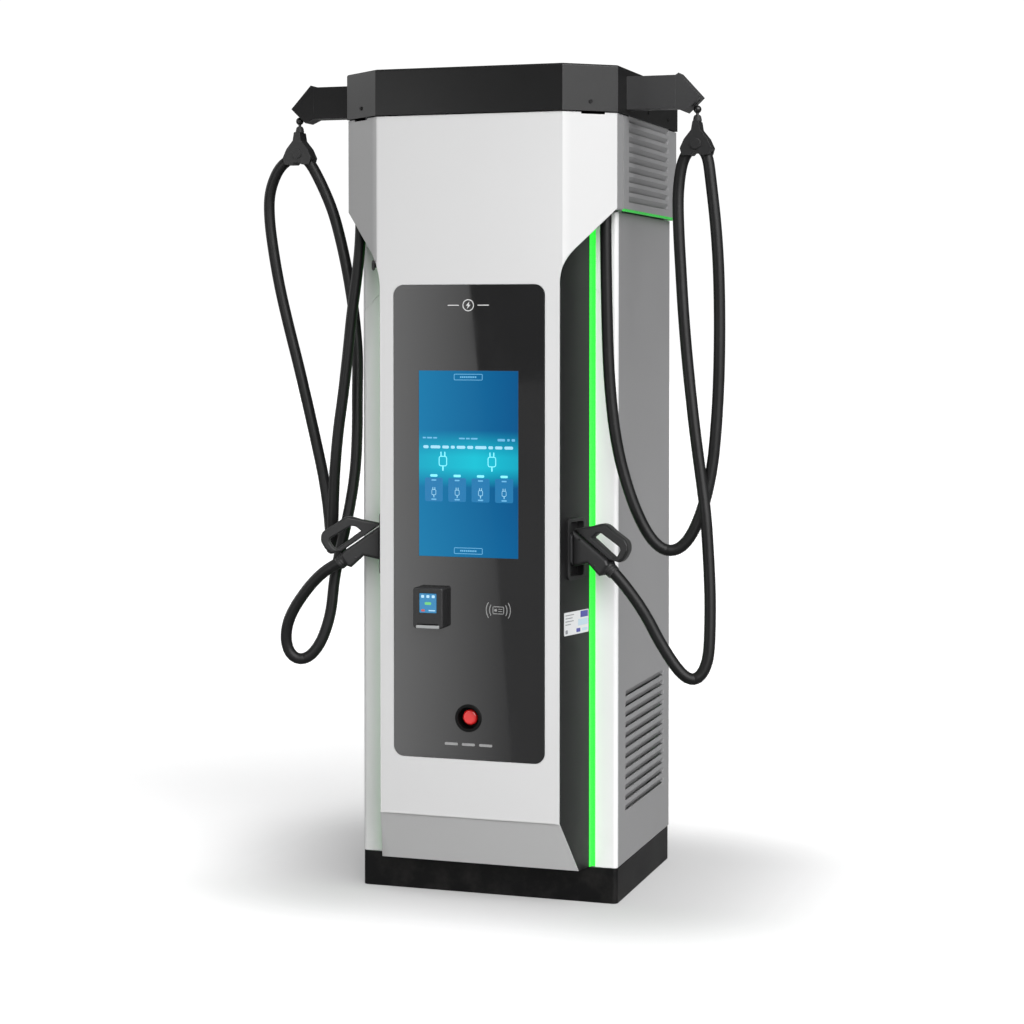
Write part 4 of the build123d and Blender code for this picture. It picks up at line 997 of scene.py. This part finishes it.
def rubber_band(bm, table, height, closed):
    """Crowned band along a rim, proud outwards if open and into the hole if closed."""
    rim = [Vector(p) / 1000 for p in table]
    if closed:
        line = spline([rim[-1]] + rim + rim[:2], count=6)
    else:
        line = spline([rim[0]] + rim + [rim[-1]], count=6) + [rim[-1]]
    count = len(line)
    middle = sum(line, Vector((0, 0))) / count
    rings = []
    for i, point in enumerate(line):
        if closed:
            before, after = line[i - 1], line[(i + 1) % count]
        else:
            before, after = line[max(i - 1, 0)], line[min(i + 1, count - 1)]
        proud = line_normal(before, after)
        if proud.dot(point - middle) < 0:
            proud = -proud
        if closed:
            proud = -proud
        ring = []
        for across, rise in BAND_SECTION:
            spot = point + proud * (height * rise)
            ring.append(bm.verts.new((spot.x, across * BAND_HALF_WIDTH, spot.y)))
        rings.append(ring)
    for a, b in zip(rings, rings[1:]):
        bridge(bm, (a, b))
    if closed:
        bridge(bm, (rings[-1], rings[0]))
    else:
        bm.faces.new(rings[0])
        bm.faces.new(list(reversed(rings[-1])))


def collar(bm, centre, axis, inner, outer, half):
    """Turned collar with softened rims around an axis."""
    axis = axis.normalized()
    x_axis = Vector((0, 1, 0))
    x_axis = (x_axis - axis * x_axis.dot(axis)).normalized()
    y_axis = axis.cross(x_axis)
    profile = [(inner, -half), (outer * 0.985, -half), (outer, -half * 0.6),
               (outer, half * 0.6), (outer * 0.985, half), (inner, half)]
    rings = [circle(bm, centre + axis * shift, x_axis, y_axis, radius, 36)
             for radius, shift in profile]
    for a, b in zip(rings, rings[1:] + rings[:1]):
        bridge(bm, (a, b))


def screw(bm, x, y, z):
    """Flat screw head standing out of the shell, away from y = 0."""
    rim, head, base = (
        circle(bm, Vector((x, y * share, z)), Vector((1, 0, 0)), Vector((0, 0, 1)), radius, 24)
        for radius, share in ((0.0036, 1.0), (0.0030, 1.03), (0.0036, 0.9)))
    bridge(bm, (rim, head), (base, rim))
    bm.faces.new(head)
    bm.faces.new(list(reversed(base)))


def build_connector_details(side, sign):
    """Built in the bay frame, then moved to the bay and mirrored for the left side."""
    bm = bmesh.new()
    rubber_band(bm, HANDLE_OUTER, height=0.0016, closed=False)
    rubber_band(bm, HANDLE_HOLE, height=0.0014, closed=True)
    bands = new_object("grip_bands_" + side, bm, [slot_paints["soft_rubber"]], smooth_angle=50)
    bm = bmesh.new()
    tilt = math.radians(-42)                  # direction in which the cable leaves
    axis = Vector((math.cos(tilt), 0, math.sin(tilt)))
    for shift, outer in ((0.0042, 0.0213), (0.0135, 0.0200), (0.0205, 0.0196)):
        collar(bm, Vector((0.110, 0, 0.986)) + axis * shift, axis,
               inner=0.0175, outer=outer, half=0.0026)
    for y in (-0.0259, 0.0259):               # screws that hold the shell halves
        for x, z in ((0.030, 1.062), (0.078, 0.990)):
            screw(bm, x, y, z)
    rings = new_object("connector_rings_" + side, bm, [slot_paints["black_plastic"]],
                       smooth_angle=40)
    for piece, slot in ((bands, "soft_rubber"), (rings, "black_plastic")):
        if sign > 0:
            piece.data.transform(BAY)
        else:
            piece.data.transform(MIRROR_X @ BAY)
            piece.data.flip_normals()
        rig.ride(piece, "connector_" + side)
        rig.slot(piece, slot)


def build_hanger_sleeve(side, sign):
    """Rubber rings that close the top of a cable hanger around its cord."""
    bm = bmesh.new()
    for z, outer, half in ((2.2495, 0.0128, 0.0032), (2.2545, 0.0119, 0.0030),
                           (2.2590, 0.0108, 0.0028)):
        collar(bm, Vector((sign * CORD_DROP_X, PULLEY_Y, z)), Vector((0, 0, 1)),
               inner=0.0076, outer=outer, half=half)
    fit("hanger_sleeve_" + side, bm, [slot_paints["soft_rubber"]],
        parent="hanger_" + side, slot="soft_rubber", smooth_angle=40)


for side, sign in SIDES:
    build_connector_details(side, sign)
for side, sign in SIDES:
    build_hanger_sleeve(side, sign)


# ---------------------------------------------------------------- floor
def floor_material():
    """Pale floor with a soft painted shadow around the foot; duller for all but camera rays."""
    n = new_material("floor_pale_painted_shadow")
    x, y, z = n.xyz(n.coords)

    def beyond(axis, half_size):
        return n.math("MAXIMUM", n.math("SUBTRACT", n.math("ABSOLUTE", axis), half_size), 0.0)

    away_x, away_y = beyond(x, half_size=0.34), beyond(y, half_size=0.26)
    depth_weight = 1.6                        # the shade reaches less far along y
    distance = n.math("SQRT", n.plus(n.times(away_x, away_x),
                                     n.times(n.times(away_y, away_y), depth_weight)))
    # painted shadow: the floor's colour and glow fall to 0.56 of their level near the foot
    painted_shadow_level = n.ramp(distance, span=(0.0, 1.02), to=(0.56, 1.0), shape="SMOOTHERSTEP")
    pale = n.add("ShaderNodeBsdfDiffuse", {"Color": n.mix(painted_shadow_level, grey(0.0), grey(0.88))})
    lift = n.add("ShaderNodeEmission", {"Strength": n.times(painted_shadow_level, 0.42)})
    seen = n.add("ShaderNodeAddShader", {0: pale.outputs[0], 1: lift.outputs[0]})
    dull = n.add("ShaderNodeBsdfDiffuse", {"Color": grey(0.30)})
    camera_ray = n.add("ShaderNodeLightPath").outputs["Is Camera Ray"]
    return n.surface(n.mix_shader(camera_ray, dull, seen))


bm = bmesh.new()
bmesh.ops.create_grid(bm, x_segments=2, y_segments=2, size=60.0)
floor = new_object("floor", bm, [floor_material()])
floor.location = (0, 0, -0.0005)
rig.stage(floor)


# ---------------------------------------------------------------- world and lights
def studio_world():
    """White to the camera, dim grey to diffuse rays, two broad panels to glossy rays."""
    world = bpy.data.worlds.new("studio")
    bpy.context.scene.world = world
    n = Nodes(world, output="ShaderNodeOutputWorld")
    view = n.add("ShaderNodeTexCoord").outputs["Generated"]
    panels = []
    for direction, level in (((0.83, -0.52, 0.2), 1.7), ((-0.99, 0.06, 0.12), 1.55)):
        facing = n.add("ShaderNodeVectorMath", {0: view, 1: Vector(direction).normalized()},
                       operation="DOT_PRODUCT").outputs["Value"]
        panels.append(n.ramp(facing, span=(0.72, 0.95), to=(0.0, level), shape="SMOOTHSTEP"))
    room_level = 0.10
    reflected = n.add("ShaderNodeBackground", {"Strength": n.plus(n.plus(*panels), room_level)})
    ambient = n.add("ShaderNodeBackground", {"Color": (0.17, 0.17, 0.172)})
    backdrop = n.add("ShaderNodeBackground", {"Color": grey(1.0), "Strength": 1.05})
    ray = n.add("ShaderNodeLightPath").outputs
    lighting = n.mix_shader(ray["Is Glossy Ray"], ambient, reflected)
    n.surface(n.mix_shader(ray["Is Camera Ray"], lighting, backdrop))


def sun(azimuth, elevation, energy, angle):
    """Sun in degrees: azimuth from the front (-Y) towards +X, angle is its apparent size."""
    light = bpy.data.lights.new("sun", "SUN")
    light.energy = energy
    light.angle = math.radians(angle)
    obj = bpy.data.objects.new("sun", light)
    bpy.context.scene.collection.objects.link(obj)
    a, e = math.radians(azimuth), math.radians(elevation)
    towards = Vector((math.sin(a) * math.cos(e), -math.cos(a) * math.cos(e), math.sin(e)))
    obj.rotation_mode = "QUATERNION"
    obj.rotation_quaternion = towards.to_track_quat("Z", "Y")


studio_world()
sun(azimuth=40, elevation=30, energy=3.3, angle=60)
sun(azimuth=-5, elevation=72, energy=0.55, angle=90)


# ---------------------------------------------------------------- reflection card
# Seen only in reflections: lays the broad highlight over the left of the glass.
CARD_Y = -2.5
# x, z around the card
CARD_OUTLINE = [(-1.9, 0.004), (-0.50, 0.004), (-0.529, 0.018), (-0.586, 0.740),
                (-0.697, 1.821), (-0.79, 2.7), (-1.9, 2.7)]


def card_material():
    n = new_material("card_light")
    x, y, z = n.xyz(n.coords)
    strength = n.ramp(x, span=(-1.10, -0.55), to=(2.2, 0.45))
    return n.surface(n.add("ShaderNodeEmission", {"Strength": strength}))


bm = bmesh.new()
bm.faces.new([bm.verts.new((x, CARD_Y, z)) for x, z in CARD_OUTLINE])
card = new_object("reflection_card", bm, [card_material()])
for ray_kind in ("camera", "diffuse", "shadow", "transmission", "volume_scatter"):
    setattr(card, "visible_" + ray_kind, False)
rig.stage(card)

# ---------------------------------------------------------------- camera
CAMERA_PITCH, CAMERA_TURN = -1.47, 18.04      # degrees from level, and from facing +Y
camera = bpy.data.cameras.new("cam")
camera_object = bpy.data.objects.new("cam", camera)
bpy.context.scene.collection.objects.link(camera_object)
camera.sensor_width = 36.0
camera.lens = 80.05
camera.shift_y = -0.124
camera.clip_start, camera.clip_end = 0.1, 200.0
camera_object.location = (2.1226, -6.5926, 1.6633)
camera_object.rotation_euler = (math.radians(90 + CAMERA_PITCH), 0.0, math.radians(CAMERA_TURN))
bpy.context.scene.camera = camera_object
bpy.context.scene.view_settings.view_transform = "Standard"
bpy.context.scene.view_settings.look = "None"

low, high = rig.bounds()
json.dump({"frame": [list(frame_low), list(frame_high)], "visual": [list(low), list(high)]},
          open("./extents.json", "w"))
